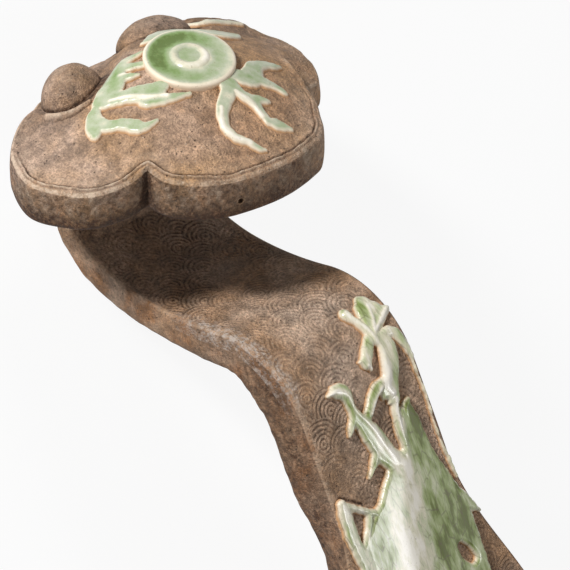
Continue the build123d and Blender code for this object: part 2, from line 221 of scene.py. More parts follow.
def heel_depth(headings):
    """Clay depth under the trough, cut by the rounded heel and the neck's back."""
    angle = headings - HEAD_TILT - math.pi / 2
    du, dn = np.cos(angle), np.sin(angle)
    cu, cn = heel_u - TROUGH[0], heel_n - trough_middle_n
    along_ray = du * cu + dn * cn
    inside = np.maximum(along_ray**2 - cu**2 - cn**2 + HEEL_RADIUS**2, 0)
    to_circle = along_ray + np.sqrt(inside)
    to_back = (NECK_BACK - TROUGH[0]) / np.minimum(du, -1e-6)
    on_circle = to_circle * dn < cn
    limit = np.where(on_circle, to_circle, to_back)
    past_heel = angle > math.atan2(cn, cu)
    full = TROUGH_RADIUS + SHAFT_THICKNESS
    return np.where(past_heel, full, np.minimum(limit, full)) - TROUGH_RADIUS


course_s, course_x, course_z, course_heading = shaft_course()
trough_end = np.searchsorted(course_heading[: len(course_x) // 3], HEAD_TILT)
course_depth = np.full(len(course_s), SHAFT_THICKNESS)
course_depth[:trough_end] = heel_depth(course_heading[:trough_end])


def on_shaft(x, y, height):
    """Points at a height over the shaft's face, given from above by x and y."""
    x, y, height = np.broadcast_arrays(x, y, height)
    heading = np.interp(x, course_x, course_heading)
    z = np.interp(x, course_x, course_z)
    return np.stack([x - height * np.sin(heading), y, z + height * np.cos(heading)], axis=-1)


def half_width(x):
    """Half the shaft's width, with the middle swelling and the rounded butt."""
    width = 20.8 + 16.2 * smooth(82, 142, x) - 18.5 * smooth(142, 205, x) + 8.5 * smooth(245, 292, x)
    past = np.clip((x - 292) / (BUTT_REACH - 292), 0, 1)
    return width * np.sqrt(1 - past**2)


def face_middle(x):
    """The face lies a little to the left of the middle in the upper third."""
    return -1.5 * smooth(200, 120, x)


print(f"face length {course_s[-1]:.0f} mm, top at z {course_z.max():.1f} mm")

# %% [markdown]
# ## Camera, floor and light
# The camera looks down over the head from the left and is rolled, so the shaft leaves the picture at
# the lower right. A long lens keeps the perspective gentle. It comes first, because every later choice
# is judged through it.

# %% Camera
IMAGE_SIZE = 570
FOCAL_PIXELS = 2765
SENSOR = 36.0
CAMERA_AT = Vector((-89.8, -419.8, 598.8)) * MM
LOOKS_AT = Vector((25.3, 1.9, 49.5)) * MM
IMAGE_UP = Vector((-0.91, 0.375, 0.18))

camera_data = bpy.data.cameras.new("camera")
camera_data.sensor_width = SENSOR
camera_data.lens = SENSOR * FOCAL_PIXELS / IMAGE_SIZE
camera_data.clip_end = 10
camera = bpy.data.objects.new("camera", camera_data)
scene.collection.objects.link(camera)
back = (CAMERA_AT - LOOKS_AT).normalized()
right = IMAGE_UP.cross(back).normalized()
turned = Matrix((right, back.cross(right), back)).transposed().to_4x4()
camera.matrix_world = Matrix.Translation(CAMERA_AT) @ turned
scene.camera = camera
print("lens", round(camera_data.lens, 1), "mm")

# %% [markdown]
# Every material, the floor and the world are built from nodes. These helpers add a node, do a sum,
# blend colours, make a cloudy noise and map a range, so that later cells stay short.

# %% Helpers for node trees


def put(tree, kind, **settings):
    """Adds a node and sets its properties; inputs are set by name through `ins`."""
    node = tree.nodes.new(kind)
    ins = settings.pop("ins", {})
    for key, value in settings.items():
        setattr(node, key, value)
    for key, value in ins.items():
        if isinstance(value, bpy.types.NodeSocket):
            tree.links.new(value, node.inputs[key])
        else:
            node.inputs[key].default_value = value
    return node


def calc(tree, operation, first, second=0.0, clamp=False):
    node = put(tree, "ShaderNodeMath", operation=operation, use_clamp=clamp, ins={0: first, 1: second})
    return node.outputs[0]


def blend_colour(tree, factor, first, second, mode="MIX"):
    ins = {0: factor, 6: first, 7: second}
    return put(tree, "ShaderNodeMix", data_type="RGBA", blend_type=mode, ins=ins).outputs[2]


def cloud(tree, vector, scale, detail=3.0, rough=0.5):
    ins = {"Vector": vector, "Scale": scale, "Detail": detail, "Roughness": rough}
    return put(tree, "ShaderNodeTexNoise", ins=ins).outputs["Fac"]


def between(tree, value, low, high, start=0.0, end=1.0):
    ins = {"Value": value, "From Min": low, "From Max": high, "To Min": start, "To Max": end}
    return put(tree, "ShaderNodeMapRange", ins=ins, clamp=True).outputs[0]


def srgb(red, green, blue):
    """A colour read off as 0 to 255, in the linear values that shaders use."""
    parts = (red, green, blue)
    linear = [c / 255 / 12.92 if c <= 10 else ((c / 255 + 0.055) / 1.055) ** 2.4 for c in parts]
    return (*linear, 1.0)


def new_material(name):
    material = bpy.data.materials.new(name)
    material.use_nodes = True
    tree = material.node_tree
    tree.nodes.clear()
    return material, tree


def seen_directly(tree):
    """1 for rays from the camera or from a mirroring or clear surface, otherwise 0."""
    path = put(tree, "ShaderNodeLightPath")
    seen = calc(tree, "MAXIMUM", path.outputs["Is Camera Ray"], path.outputs["Is Glossy Ray"])
    return calc(tree, "MAXIMUM", seen, path.outputs["Is Transmission Ray"])


print("node helpers ready")

# %% [markdown]
# The floor is a large pale sheet. A mix with plain white, for rays that see it directly, makes it
# read as studio paper while it still carries the sceptre's shadow.

# %% Floor
FLOOR_SIZE = 6.0
FLOOR_DROP = 0.0002
PAPER_SHADE = 0.9

paper, tree = new_material("studio_paper")
diffuse = put(tree, "ShaderNodeBsdfDiffuse", ins={"Color": (0.9, 0.9, 0.9, 1)})
white = put(tree, "ShaderNodeEmission", ins={"Color": (1, 1, 1, 1), "Strength": 1.0})
share = calc(tree, "MULTIPLY", seen_directly(tree), PAPER_SHADE)
mixed = put(tree, "ShaderNodeMixShader", ins={0: share, 1: diffuse.outputs[0], 2: white.outputs[0]})
put(tree, "ShaderNodeOutputMaterial", ins={0: mixed.outputs[0]})

bpy.ops.mesh.primitive_plane_add(size=FLOOR_SIZE, location=(0, 0, -FLOOR_DROP))
floor = bpy.context.object
floor.name = "floor"
floor.data.materials.append(paper)
print("floor", FLOOR_SIZE, "m")

# %% [markdown]
# A lamp on the head's left gives the long soft shadow that the head throws on the shaft. A weaker,
# larger one fills from the other side and mirrors in the glaze, and a pale world lifts the rest.

# %% Lamps and world
LAMP_TARGET = Vector((20, 0, 40)) * MM
SKY_FILL = 0.15


def lamp(name, direction, distance, size, power):
    data = bpy.data.lights.new(name, "AREA")
    data.shape = "DISK"
    data.size = size
    data.energy = power
    lamp_object = bpy.data.objects.new(name, data)
    scene.collection.objects.link(lamp_object)
    toward = Vector(direction).normalized()
    lamp_object.location = LAMP_TARGET + toward * distance
    lamp_object.rotation_euler = toward.to_track_quat("Z", "Y").to_euler()


lamp("key", (-0.73, -0.57, 0.39), 1.2, 0.22, 15.5)
lamp("fill", (0.48, 0.42, 0.77), 1.5, 0.4, 4.8)
world = bpy.data.worlds.new("studio")
scene.world = world
world.use_nodes = True
tree = world.node_tree
tree.nodes.clear()
strength = between(tree, seen_directly(tree), 0.0, 1.0, SKY_FILL, 1.0)
sky = put(tree, "ShaderNodeBackground", ins={"Color": (1, 1, 1, 1), "Strength": strength})
put(tree, "ShaderNodeOutputWorld", ins={0: sky.outputs[0]})
scene.view_settings.view_transform = "Standard"

# %% [markdown]
# ## Clay and glaze
# Fired stoneware is never one colour. Its iron-rich body varies from pinkish grey to brown over
# centimetres, and single grains of sand and iron show at less than a millimetre. The grain is a
# node group, because the head and the shaft both use it with their own values.

# %% Node group: clay grain


def clay_grain_group():
    group = bpy.data.node_groups.new("clay_grain", "ShaderNodeTree")
    for name in ("Light", "Deep", "Flash"):
        group.interface.new_socket(name, in_out="INPUT", socket_type="NodeSocketColor")
    group.interface.new_socket("Flashing", in_out="INPUT", socket_type="NodeSocketFloat")
    group.interface.new_socket("Colour", in_out="OUTPUT", socket_type="NodeSocketColor")
    for name in ("Height", "Roughness"):
        group.interface.new_socket(name, in_out="OUTPUT", socket_type="NodeSocketFloat")
    inputs = group.nodes.new("NodeGroupInput")
    outputs = group.nodes.new("NodeGroupOutput")
    place = put(group, "ShaderNodeTexCoord").outputs["Object"]
    patches = between(group, cloud(group, place, 45, 4, 0.55), 0.38, 0.62)
    colour = blend_colour(group, patches, inputs.outputs["Deep"], inputs.outputs["Light"])
    flash_mask = between(group, cloud(group, place, 90, 3, 0.6), 0.42, 0.6)
    flash = calc(group, "MULTIPLY", flash_mask, inputs.outputs["Flashing"], clamp=True)
    colour = blend_colour(group, flash, colour, inputs.outputs["Flash"])
    stain = between(group, cloud(group, place, 150, 6, 0.75), 0.4, 0.56, 0.68, 1.12)
    mottle = cloud(group, place, 420, 4, 0.65)
    shade = calc(group, "MULTIPLY", stain, between(group, mottle, 0.38, 0.62, 0.78, 1.22))
    grain = cloud(group, place, 1900, 3, 0.7)
    shade = calc(group, "MULTIPLY", shade, between(group, grain, 0.38, 0.62, 0.7, 1.28))
    grey = put(group, "ShaderNodeCombineColor", ins={0: shade, 1: shade, 2: shade}).outputs[0]
    colour = blend_colour(group, 1.0, colour, grey, "MULTIPLY")
    sand = put(group, "ShaderNodeTexVoronoi", ins={"Vector": place, "Scale": 900.0})
    picked = put(group, "ShaderNodeSeparateColor", ins={0: sand.outputs["Color"]})
    pale = between(group, sand.outputs["Distance"], 0.10, 0.22, 0.5, 0.0)
    pale = calc(group, "MULTIPLY", pale, between(group, picked.outputs[0], 0.82, 0.86))
    colour = blend_colour(group, pale, colour, srgb(214, 196, 176))
    iron = between(group, sand.outputs["Distance"], 0.12, 0.26, 0.7, 0.0)
    iron = calc(group, "MULTIPLY", iron, between(group, picked.outputs[1], 0.84, 0.88))
    colour = blend_colour(group, iron, colour, srgb(52, 38, 28))
    height = calc(group, "ADD", mottle, calc(group, "MULTIPLY", grain, 0.8))
    height = calc(group, "SUBTRACT", height, calc(group, "MULTIPLY", iron, 0.8))
    rough = between(group, grain, 0.3, 0.7, 0.62, 0.85)
    group.links.new(colour, outputs.inputs["Colour"])
    group.links.new(height, outputs.inputs["Height"])
    group.links.new(rough, outputs.inputs["Roughness"])
    return group


clay_grain = clay_grain_group()
print("group", clay_grain.name, "with", len(clay_grain.nodes), "nodes")

# %% [markdown]
# The biscuit material reads four numbers that each mesh keeps for its own points: how much the clay
# is darkened, mostly as painted shade in recesses, creases and under the head and partly as random
# blots and a firing crack, how much an edge is rubbed pale, where kiln flashing warms the clay and
# where lime flecks it.

# %% Material: biscuit clay


def biscuit(name, light, deep, flash, lime):
    material, tree = new_material(name)
    shade_and_stain, wear, warmth, chalk = [
        put(tree, "ShaderNodeAttribute", attribute_name=key).outputs["Fac"]
        for key in ("shade_and_stain", "wear", "flash", "chalk")
    ]
    ins = {"Light": light, "Deep": deep, "Flash": flash, "Flashing": warmth}
    grain = put(tree, "ShaderNodeGroup", node_tree=clay_grain, ins=ins)
    place = put(tree, "ShaderNodeTexCoord").outputs["Object"]
    rub = between(tree, cloud(tree, place, 330, 6, 0.85), 0.42, 0.58)
    rub = calc(tree, "MULTIPLY", rub, wear, clamp=True)
    colour = blend_colour(tree, rub, grain.outputs["Colour"], srgb(218, 194, 170))
    flecks = between(tree, cloud(tree, place, 560, 5, 0.8), 0.46, 0.6)
    flecks = calc(tree, "MULTIPLY", flecks, chalk, clamp=True)
    colour = blend_colour(tree, calc(tree, "MULTIPLY", flecks, lime), colour, srgb(214, 202, 192))
    # Painted shade: where the shade mask is high, the clay darkens toward this brown, in patches.
    dark = blend_colour(tree, 1.0, colour, srgb(104, 86, 70), "MULTIPLY")
    shade_patches = between(tree, cloud(tree, place, 800, 6, 0.85), 0.4, 0.6, 0.6, 1.4)
    colour = blend_colour(tree, calc(tree, "MULTIPLY", shade_and_stain, shade_patches, clamp=True), colour, dark)
    ins = {"Strength": 0.9, "Distance": 0.0011, "Height": grain.outputs["Height"]}
    bump = put(tree, "ShaderNodeBump", ins=ins)
    ins = {"Base Color": colour, "Roughness": grain.outputs["Roughness"], "Normal": bump.outputs[0]}
    shader = put(tree, "ShaderNodeBsdfPrincipled", ins={**ins, "Specular IOR Level": 0.4})
    put(tree, "ShaderNodeOutputMaterial", ins={0: shader.outputs[0]})
    return material


# Both are one clay; the shaft's copy has lighter colours than the head's, as painted light.
head_clay = biscuit("biscuit_head", srgb(186, 158, 137), srgb(170, 134, 98), srgb(172, 126, 82), 0.5)
shaft_clay_brightened = biscuit("biscuit_shaft_brightened", srgb(206, 179, 157), srgb(174, 138, 106), srgb(160, 112, 70), 0.9)
print("clays:", head_clay.name, shaft_clay_brightened.name)

# %% [markdown]
# Celadon is a clear, iron-tinted glaze. Where it runs thin over ridges and edges the pale clay shows
# through as cream; where it pools it turns green, a bluer green on the head than on the shaft. Each
# sprig's mesh keeps a number for the pooling and one for the distance from its edge. On the shaft the
# glaze ran in streaks along the sprigs and crackled as it cooled. Deep pools mirror less.

# %% Material: celadon glaze
HEAD_STOPS = (
    (0.0, srgb(238, 232, 218)),
    (0.25, srgb(212, 206, 182)),
    (0.45, srgb(180, 185, 160)),
    (0.65, srgb(154, 168, 130)),
    (0.85, srgb(126, 150, 94)),
    (1.0, srgb(94, 114, 58)),
)
SHAFT_STOPS = (
    (0.0, srgb(238, 232, 218)),
    (0.25, srgb(214, 208, 180)),
    (0.45, srgb(187, 191, 154)),
    (0.65, srgb(162, 173, 120)),
    (0.85, srgb(128, 143, 76)),
    (1.0, srgb(92, 102, 36)),
)


def celadon(name, colours, crackle, streaks, swell_height, thick, patchy, gloss):
    material, tree = new_material(name)
    rim = put(tree, "ShaderNodeAttribute", attribute_name="rim").outputs["Fac"]
    pool = put(tree, "ShaderNodeAttribute", attribute_name="pool").outputs["Fac"]
    place = put(tree, "ShaderNodeTexCoord").outputs["Object"]
    drawn = put(tree, "ShaderNodeMapping", ins={"Vector": place, "Scale": streaks}).outputs[0]
    cloudy = cloud(tree, drawn, 260, 5, 0.65)
    patches = between(tree, cloudy, 0.34, 0.66, thick - patchy, thick + patchy)
    deep = calc(tree, "ADD", pool, patches, clamp=True)
    ramp = put(tree, "ShaderNodeValToRGB", ins={0: deep})
    stops = ramp.color_ramp.elements
    stops[0].color = colours[0][1]
    stops[1].color = colours[-1][1]
    for position, colour in colours[1:-1]:
        stops.new(position).color = colour
    edge = between(tree, rim, 0.15, 0.6, 0.9, 0.0)
    colour = blend_colour(tree, edge, ramp.outputs[0], srgb(234, 220, 198))
    lip = between(tree, rim, 0.02, 0.2, 1.0, 0.0)
    colour = blend_colour(tree, lip, colour, srgb(196, 152, 110))
    ins = {"Vector": drawn, "Scale": 520.0}
    cells = put(tree, "ShaderNodeTexVoronoi", feature="DISTANCE_TO_EDGE", ins=ins)
    crack = between(tree, cells.outputs["Distance"], 0.0, 0.05, 1.0, 0.0)
    crack = calc(tree, "MULTIPLY", crack, calc(tree, "MULTIPLY", deep, crackle), clamp=True)
    colour = blend_colour(tree, crack, colour, srgb(96, 92, 58))
    specks = between(tree, cloud(tree, place, 1500, 2, 0.6), 0.64, 0.72, 0.0, 0.4)
    colour = blend_colour(tree, specks, colour, srgb(120, 96, 60))
    swell = cloud(tree, drawn, 300, 3, 0.5)
    bump = put(tree, "ShaderNodeBump", ins={"Strength": 0.4, "Distance": swell_height, "Height": swell})
    rough = between(tree, rim, 0.0, 0.5, 0.6, 0.3)
    sheen = between(tree, rim, 0.1, 0.5, 0.0, gloss)
    coat = calc(tree, "MULTIPLY", sheen, between(tree, deep, 0.5, 0.95, 1.0, 0.3))
    ins = {"Base Color": colour, "Roughness": rough, "Coat Weight": coat, "Normal": bump.outputs[0]}
    ins.update({"Coat Roughness": 0.2, "IOR": 1.5, "Specular IOR Level": 0.2})
    shader = put(tree, "ShaderNodeBsdfPrincipled", ins=ins)
    put(tree, "ShaderNodeOutputMaterial", ins={0: shader.outputs[0]})
    return material


head_glaze = celadon("celadon_head", HEAD_STOPS, 0.12, (1, 1, 1), 0.0004, 0.08, 0.12, 0.25)
shaft_glaze = celadon("celadon_shaft", SHAFT_STOPS, 0.9, (0.25, 1, 0.6), 0.00015, 0.04, 0.34, 0.9)
print("glazes:", head_glaze.name, shaft_glaze.name)

# %% [markdown]
# ## Mesh helpers
# A piece is a set of points in millimetres, its faces and the numbers its material reads. The helper
# makes the mesh, rides it on the object and hides the solid it stands for.

# %% Make a piece
SHARP_ANGLE = math.radians(66)


def make_piece(name, points, faces, material, node, slot, numbers=None):
    mesh = bpy.data.meshes.new(name)
    mesh.from_pydata((np.asarray(points) * MM).tolist(), [], [tuple(map(int, f)) for f in faces])
    mesh.validate()
    for key, values in (numbers or {}).items():
        layer = mesh.attributes.new(key, "FLOAT", "POINT")
        layer.data.foreach_set("value", np.asarray(values, dtype=np.float32).ravel())
    mesh.shade_smooth()
    mesh.set_sharp_from_angle(angle=SHARP_ANGLE)
    mesh.materials.append(material)
    piece = bpy.data.objects.new(name, mesh)
    scene.collection.objects.link(piece)
    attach(piece, "root")
    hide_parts(node)
    print(f"{name}: {len(mesh.vertices)} points for {node}")
    return piece


def grid_faces(rows, columns, wrap=False, first=0):
    """Quads of a grid of points, row by row; wrap joins the last column to the first."""
    across = np.arange(columns if wrap else columns - 1)
    row, column = np.meshgrid(np.arange(rows - 1), across, indexing="ij")
    a = row * columns + column
    b = row * columns + (column + 1) % columns
    return (np.stack([a, b, b + columns, a + columns], axis=-1) + first).reshape(-1, 4)


def tube_faces(rows, columns):
    """Faces of a tube of points, row by row, with both ends closed."""
    ends = np.arange(columns)
    faces = [tuple(f) for f in grid_faces(rows, columns, wrap=True)]
    return faces + [tuple(ends[::-1]), tuple((rows - 1) * columns + ends)]


def wobble(x, y, scale, seed=0.0):
    """Slow unevenness of hand-pressed clay, about -1 to 1."""
    a = np.sin(x / scale + seed) * np.cos(y / scale * 1.3 - seed * 2)
    b = np.sin((x + y) / scale * 1.9 + seed * 3) * 0.6
    c = np.cos((x - 1.7 * y) / scale * 3.1 + seed * 5) * 0.35
    return (a + b + c) / 1.6


print("mesh helpers ready")

# %% [markdown]
# ## The head
# The outline is a cloud: a broad front lobe, two side lobes and a double lobe behind, with sharp
# notches between them. Each lobe is a smooth curve through its own list of points of (u, w), so the
# left and right lobes differ a little, as they do on a hand-cut slab.

# %% Cloud outline
LEFT_NOTCH = (17.5, -28.5)
RIGHT_NOTCH = (17.5, 26.8)
LOBES = [
    [LEFT_NOTCH, (20, -28.4), (24, -27.2), (29.8, -22.2), (34.6, -14), (37.4, 0), (35.6, 13.5)]
    + [(32.8, 18), (29, 20.9), (24.6, 24.2), (20.5, 25.6), RIGHT_NOTCH],
    [RIGHT_NOTCH, (15.6, 33), (13.5, 37.5), (8, 41), (5.5, 42), (0.2, 44.6), (-8.2, 45.6), (-14.3, 43.1)]
    + [(-19.6, 40.3), (-24, 37), (-26.6, 33.2), (-26.8, 29.5)],
    [(-26.8, 29.5), (-27.4, 25.5), (-29.8, 20), (-31, 13), (-29.6, 6), (-27.2, 0), (-30, -7), (-31, -16)]
    + [(-27, -22.8), (-24.4, -27.8)],
    [(-24.4, -27.8), (-23.8, -32.4), (-19.8, -38.9), (-14.8, -43.6), (-4, -47.6), (8, -44.2), (13, -40.2)]
    + [(16.5, -34), LEFT_NOTCH],
]
OUTLINE_STEP = 0.5


def curve_through(points, per_span=24):
    """Cubic curve through points; it leaves its ends straight toward the next point."""
    points = np.asarray(points, float)
    chords = np.linalg.norm(np.diff(points, axis=0), axis=1)
    slopes = np.zeros_like(points)
    slopes[1:-1] = (points[2:] - points[:-2]) / (chords[1:] + chords[:-1])[:, None]
    slopes[0] = (points[1] - points[0]) / chords[0]
    slopes[-1] = (points[-1] - points[-2]) / chords[-1]
    pieces = []
    for k, chord in enumerate(chords):
        t = (np.arange(per_span) / per_span)[:, None]
        ma, mb = slopes[k] * chord, slopes[k + 1] * chord
        h = (2 * t**3 - 3 * t**2 + 1) * points[k] + (t**3 - 2 * t**2 + t) * ma
        pieces.append(h + (-2 * t**3 + 3 * t**2) * points[k + 1] + (t**3 - t**2) * mb)
    return np.vstack(pieces + [points[-1:]])


def even_steps(line, spacing):
    """The same open line with points at an even spacing."""
    run = np.concatenate([[0], np.cumsum(np.linalg.norm(np.diff(line, axis=0), axis=1))])
    at = np.linspace(0, run[-1], max(int(run[-1] / spacing), 2) + 1)
    return np.stack([np.interp(at, run, line[:, k]) for k in range(line.shape[1])], axis=1)


outline = np.vstack([even_steps(curve_through(lobe), OUTLINE_STEP)[:-1] for lobe in LOBES])
turn = np.roll(outline, -1, axis=0) - np.roll(outline, 1, axis=0)
outward = np.stack([turn[:, 1], -turn[:, 0]], axis=1)
for _ in range(3):
    outward = outward + np.roll(outward, 1, axis=0) + np.roll(outward, -1, axis=0)
    outward /= np.linalg.norm(outward, axis=1)[:, None]
count = len(outline)
loop = np.arange(count)
print("outline points:", count, "reach", outline.max(0), outline.min(0))

# %% [markdown]
# All sides of the head share one shape: the wall swells a little at mid height and tucks under in a
# tight curve at the bottom, where painted shade makes it darkest. The cover, the band and the base
# each take their part of it, so their joints, which the potter smoothed over with slip, do not show.

# %% Sides of the head
RIM_ROUND = 0.8
UNDER_ROUND = 2.0
WALL_SWELL = 0.6
NOTCH_WIDTH = 1.8

base_middle = BASE_CROWN - BASE_DOME_RADIUS


def base_level(radius, extra):
    return base_middle + np.sqrt((BASE_DOME_RADIUS + extra) ** 2 - radius**2)


outline_radius = np.linalg.norm(outline, axis=1)
edge_level = face_level(*outline.T)
top_level = edge_level - FACE_THICKNESS
bottom_level = base_level(outline_radius, 0)
seam_level = base_level(outline_radius, BASE_THICKNESS)
notch_near = bell(np.linalg.norm(outline - LEFT_NOTCH, axis=1), NOTCH_WIDTH)


def inset_loop(distance):
    return outline - outward * np.asarray(distance)[..., None]


def wall_share(level):
    return np.clip((level - bottom_level) / (edge_level - bottom_level), 0, 1)


def side_row(level):
    """Outer side of the head at a level."""
    up = np.clip(level - bottom_level, 0, UNDER_ROUND)
    tuck = UNDER_ROUND - np.sqrt(np.maximum(UNDER_ROUND**2 - (UNDER_ROUND - up) ** 2, 0))
    hand = 0.25 * wobble(outline[:, 0] + level, outline[:, 1], 5.0, 6.0)
    swell = (WALL_SWELL + hand) * np.sin(np.pi * wall_share(level)) * (1 - notch_near)
    return np.column_stack([inset_loop(tuck - swell), level])


def side_numbers(levels):
    """Painted shade with random blots, wear and flashing on the side, the same for all three pieces."""
    share = np.array([wall_share(level) for level in levels])
    around, up = outline[:, 0] + outline[:, 1], 9 * share
    blot = 0.16 * wobble(around, up, 3.2, 8.0) + 0.2 * wobble(around, 2 * up, 0.8, 3.0)
    # Painted shade darkens the lower wall and the notch; the right side is darkened less, as painted
    # light.
    low_shade = 0.55 * smooth(0.6, 0.0, share) - 0.5 * smooth(0, 14, outline[:, 1])
    shade_and_stain = np.clip(0.55 + blot + low_shade + 0.8 * notch_near, 0, 1)
    wear = np.clip(0.35 + 0.6 * wobble(around, 0.5 * up, 1.3, 5.0), 0, 1) * smooth(0.1, 0.6, share)
    warm = 0.5 + 0.4 * smooth(0, 14, outline[:, 1]) + 0 * share
    return {"shade_and_stain": shade_and_stain, "wear": wear, "flash": warm}


wall_height = edge_level - bottom_level
print(f"wall {wall_height.min():.1f} to {wall_height.max():.1f} mm high")

# %% [markdown]
# The cover is made of loops that step in from the outline: up the edge and over its tight rim, past
# an incised line, and then to the middle of the dome. The loops near the rim are close together, so
# that the line is real geometry. It is cut firmly along the front and the left and dies away behind.

# %% Head cover
LINE_INSET = 2.0
LINE_DEPTH = 0.5
LINE_WIDTH = 0.28
FAINT_AT, FAINT_WIDTH, FAINT_SHARE = 0.95, 0.18, 0.45
LIP_AT, LIP_WIDTH, LIP_HEIGHT = 0.5, 0.5, 0.4
RUB_WIDTH = 0.3
LOOP_STEP = 0.15
INNER_INSET = 4.2
LOOPS_TO_MIDDLE = 100


def knob_gap(u, w):
    """Distance from the nearer knob's foot, as a share of its size; 1 is on its foot."""
    return np.minimum(foot_share(u, w, KNOB_LEFT), foot_share(u, w, KNOB_RIGHT))


def darker_behind(u, w):
    """Darkening toward the rear and the right of the face."""
    return 0.36 * smooth(-4, -24, u) + 0.25 * smooth(18, 40, w)


def rim_marks():
    """How firmly the line is cut, how far in it lies, the rim's chips and its rubbing."""
    u, w = outline.T
    cut = 0.15 + 0.85 * smooth(-20, -6, u) * smooth(30, 20, w)
    cut = cut * (0.8 + 0.3 * wobble(u, w, 8.0, 2.0))
    line_at = LINE_INSET + 0.3 * wobble(u, w, 7.0, 4.0) + 0.14 * wobble(u, w, 1.2, 1.0)
    chips = 0.5 * np.clip(wobble(u, w, 1.5, 6.0) - 0.45, 0, 1)
    rubbed = 0.55 + 0.35 * wobble(u, w, 2.0, 2.0) + 0.5 * smooth(-30, -40, w)
    return cut, line_at, chips, rubbed


def cover_rows():
    """Rows of (u, w, n) from the seam under the rim to the middle, with their numbers."""
    levels = [edge_level - drop for drop in np.linspace(FACE_THICKNESS, RIM_ROUND, 5)]
    rows = [side_row(level) for level in levels]
    side = side_numbers(levels)
    shade_and_stain, wear = list(side["shade_and_stain"]), list(side["wear"])
    cut, line_at, chips, rubbed = rim_marks()
    for angle in np.radians((15, 32, 50, 68)):
        ring = inset_loop(np.full(count, RIM_ROUND * (1 - math.cos(angle))))
        drop = RIM_ROUND * (1 - math.sin(angle)) + chips * math.sin(angle)
        rows.append(np.column_stack([ring, face_level(*ring.T) - drop]))
        # Painted shade in the notch.
        shade_and_stain.append(0.5 * notch_near)
        wear.append(rubbed)
    for inset in np.arange(RIM_ROUND, INNER_INSET, LOOP_STEP):
        ring = inset_loop(np.full(count, inset))
        past = inset - line_at
        groove = cut * (bell(past, LINE_WIDTH) + FAINT_SHARE * bell(past + FAINT_AT, FAINT_WIDTH))
        lip = LIP_HEIGHT * cut * bell(past + LIP_AT, LIP_WIDTH)
        level = face_level(*ring.T) - LINE_DEPTH * groove + lip - chips * smooth(1.6, 0.8, inset)
        rows.append(np.column_stack([ring, level]))
        # Painted shade fills the incised line; the rear and the right are darkened too.
        shade_and_stain.append(np.clip(1.2 * groove + darker_behind(*ring.T), 0, 1))
        wear.append(rubbed * (0.2 + 1.5 * cut * bell(past + LIP_AT, RUB_WIDTH)))
    last = rows[-1][:, :2]
    for share in np.linspace(0.99, 0.01, LOOPS_TO_MIDDLE):
        ring = last * share
        u, w = ring.T
        level = face_level(u, w) + 0.16 * wobble(u, w, 7.0, 3.0) + 0.08 * wobble(u, w, 1.6, 4.0)
        rows.append(np.column_stack([ring, level]))
        # Painted shade rings the feet of the knobs.
        shade_and_stain.append(np.clip(0.75 * smooth(1.22, 1.02, knob_gap(u, w)) + darker_behind(u, w), 0, 1))
        wear.append(worn_ridge(u, w))
    return np.array(rows), np.array(shade_and_stain), np.array(wear)


rows, shade_and_stain, wear = cover_rows()
points = head_points(rows)
faces = [tuple(f) for f in grid_faces(len(rows), count, wrap=True)]
faces.append(tuple((len(rows) - 1) * count + loop))
under = np.array([rows[0] * (share, share, 1) for share in (0.9, 0.6, 0.3, 0.05)])
under[..., 2] = face_level(under[..., 0], under[..., 1]) - FACE_THICKNESS
first = len(points)
points = np.vstack([points, head_points(under)])
faces += [(b, a, first + a, first + b) for a, b in zip(loop, np.roll(loop, -1))]
faces += [tuple(f[::-1]) for f in grid_faces(len(under), count, wrap=True, first=first)]
faces.append(tuple((first + (len(under) - 1) * count + loop)[::-1]))
spare = np.zeros(len(under) * count)
flash = 0.5 * smooth(-4, 10, rows[..., 0]) * smooth(-30, -6, rows[..., 1])
numbers = {"shade_and_stain": shade_and_stain, "wear": wear, "flash": flash}
numbers = {key: np.append(values.ravel(), spare) for key, values in numbers.items()}
make_piece("head_cover", points, faces, head_clay, "head_face", "biscuit", numbers)

# %% [markdown]
# The band below the cover is a ring, and the base closes the head in a shallow hollow dome.

# %% Head band and base
BAND_WALL = 6.0


def band_piece():
    levels = [top_level + (seam_level - top_level) * share for share in np.linspace(0, 1, 12)]
    rows = [side_row(level) for level in levels]
    inner = inset_loop(np.full(count, BAND_WALL))
    rows += [np.column_stack([inner, seam_level]), np.column_stack([inner, top_level])]
    rows = np.array(rows + [rows[0]])
    points = head_points(rows[:-1])
    faces = grid_faces(len(rows), count, wrap=True) % len(points)
    numbers = side_numbers(levels + [seam_level, top_level])
    return make_piece("head_band", points, faces[:, ::-1], head_clay, "head_wall", "biscuit", numbers)


def base_piece():
    levels = [seam_level + (bottom_level - seam_level) * share for share in np.linspace(0, 1, 12)]
    rows = [side_row(level) for level in levels]
    numbers = side_numbers(levels)
    inner = [rows[-1] * (share, share, 1) for share in np.linspace(0.96, 0.02, 24)]
    for row in inner:
        row[:, 2] = base_level(np.linalg.norm(row[:, :2], axis=1), 0)
    upper = [rows[0] * (share, share, 1) for share in (0.02, 0.35, 0.7)]
    for row in upper:
        row[:, 2] = base_level(np.linalg.norm(row[:, :2], axis=1), BASE_THICKNESS)
    rows = np.array(upper + rows + inner)
    points = head_points(rows)
    faces = [f[::-1] for f in tube_faces(len(rows), count)]
    pad = [(len(upper), len(inner)), (0, 0)]
    # Painted shade on the underside and inside.
    numbers = {key: np.pad(values, pad, constant_values=0.4) for key, values in numbers.items()}
    make_piece("head_under", points, faces, head_clay, "head_base", "biscuit", numbers)


head_band = band_piece()
base_piece()

# %% [markdown]
# The vent let steam out of the hollow head in the kiln. A thin pin is subtracted from the band with
# a Boolean modifier, which is then applied so that the hole is in the mesh itself.

# %% Prick the vent
VENT_ACROSS = -15.0
VENT_LEVEL = -5.4
VENT_RADIUS = 0.8
PIN_REACH = 38
PIN_LENGTH = 30


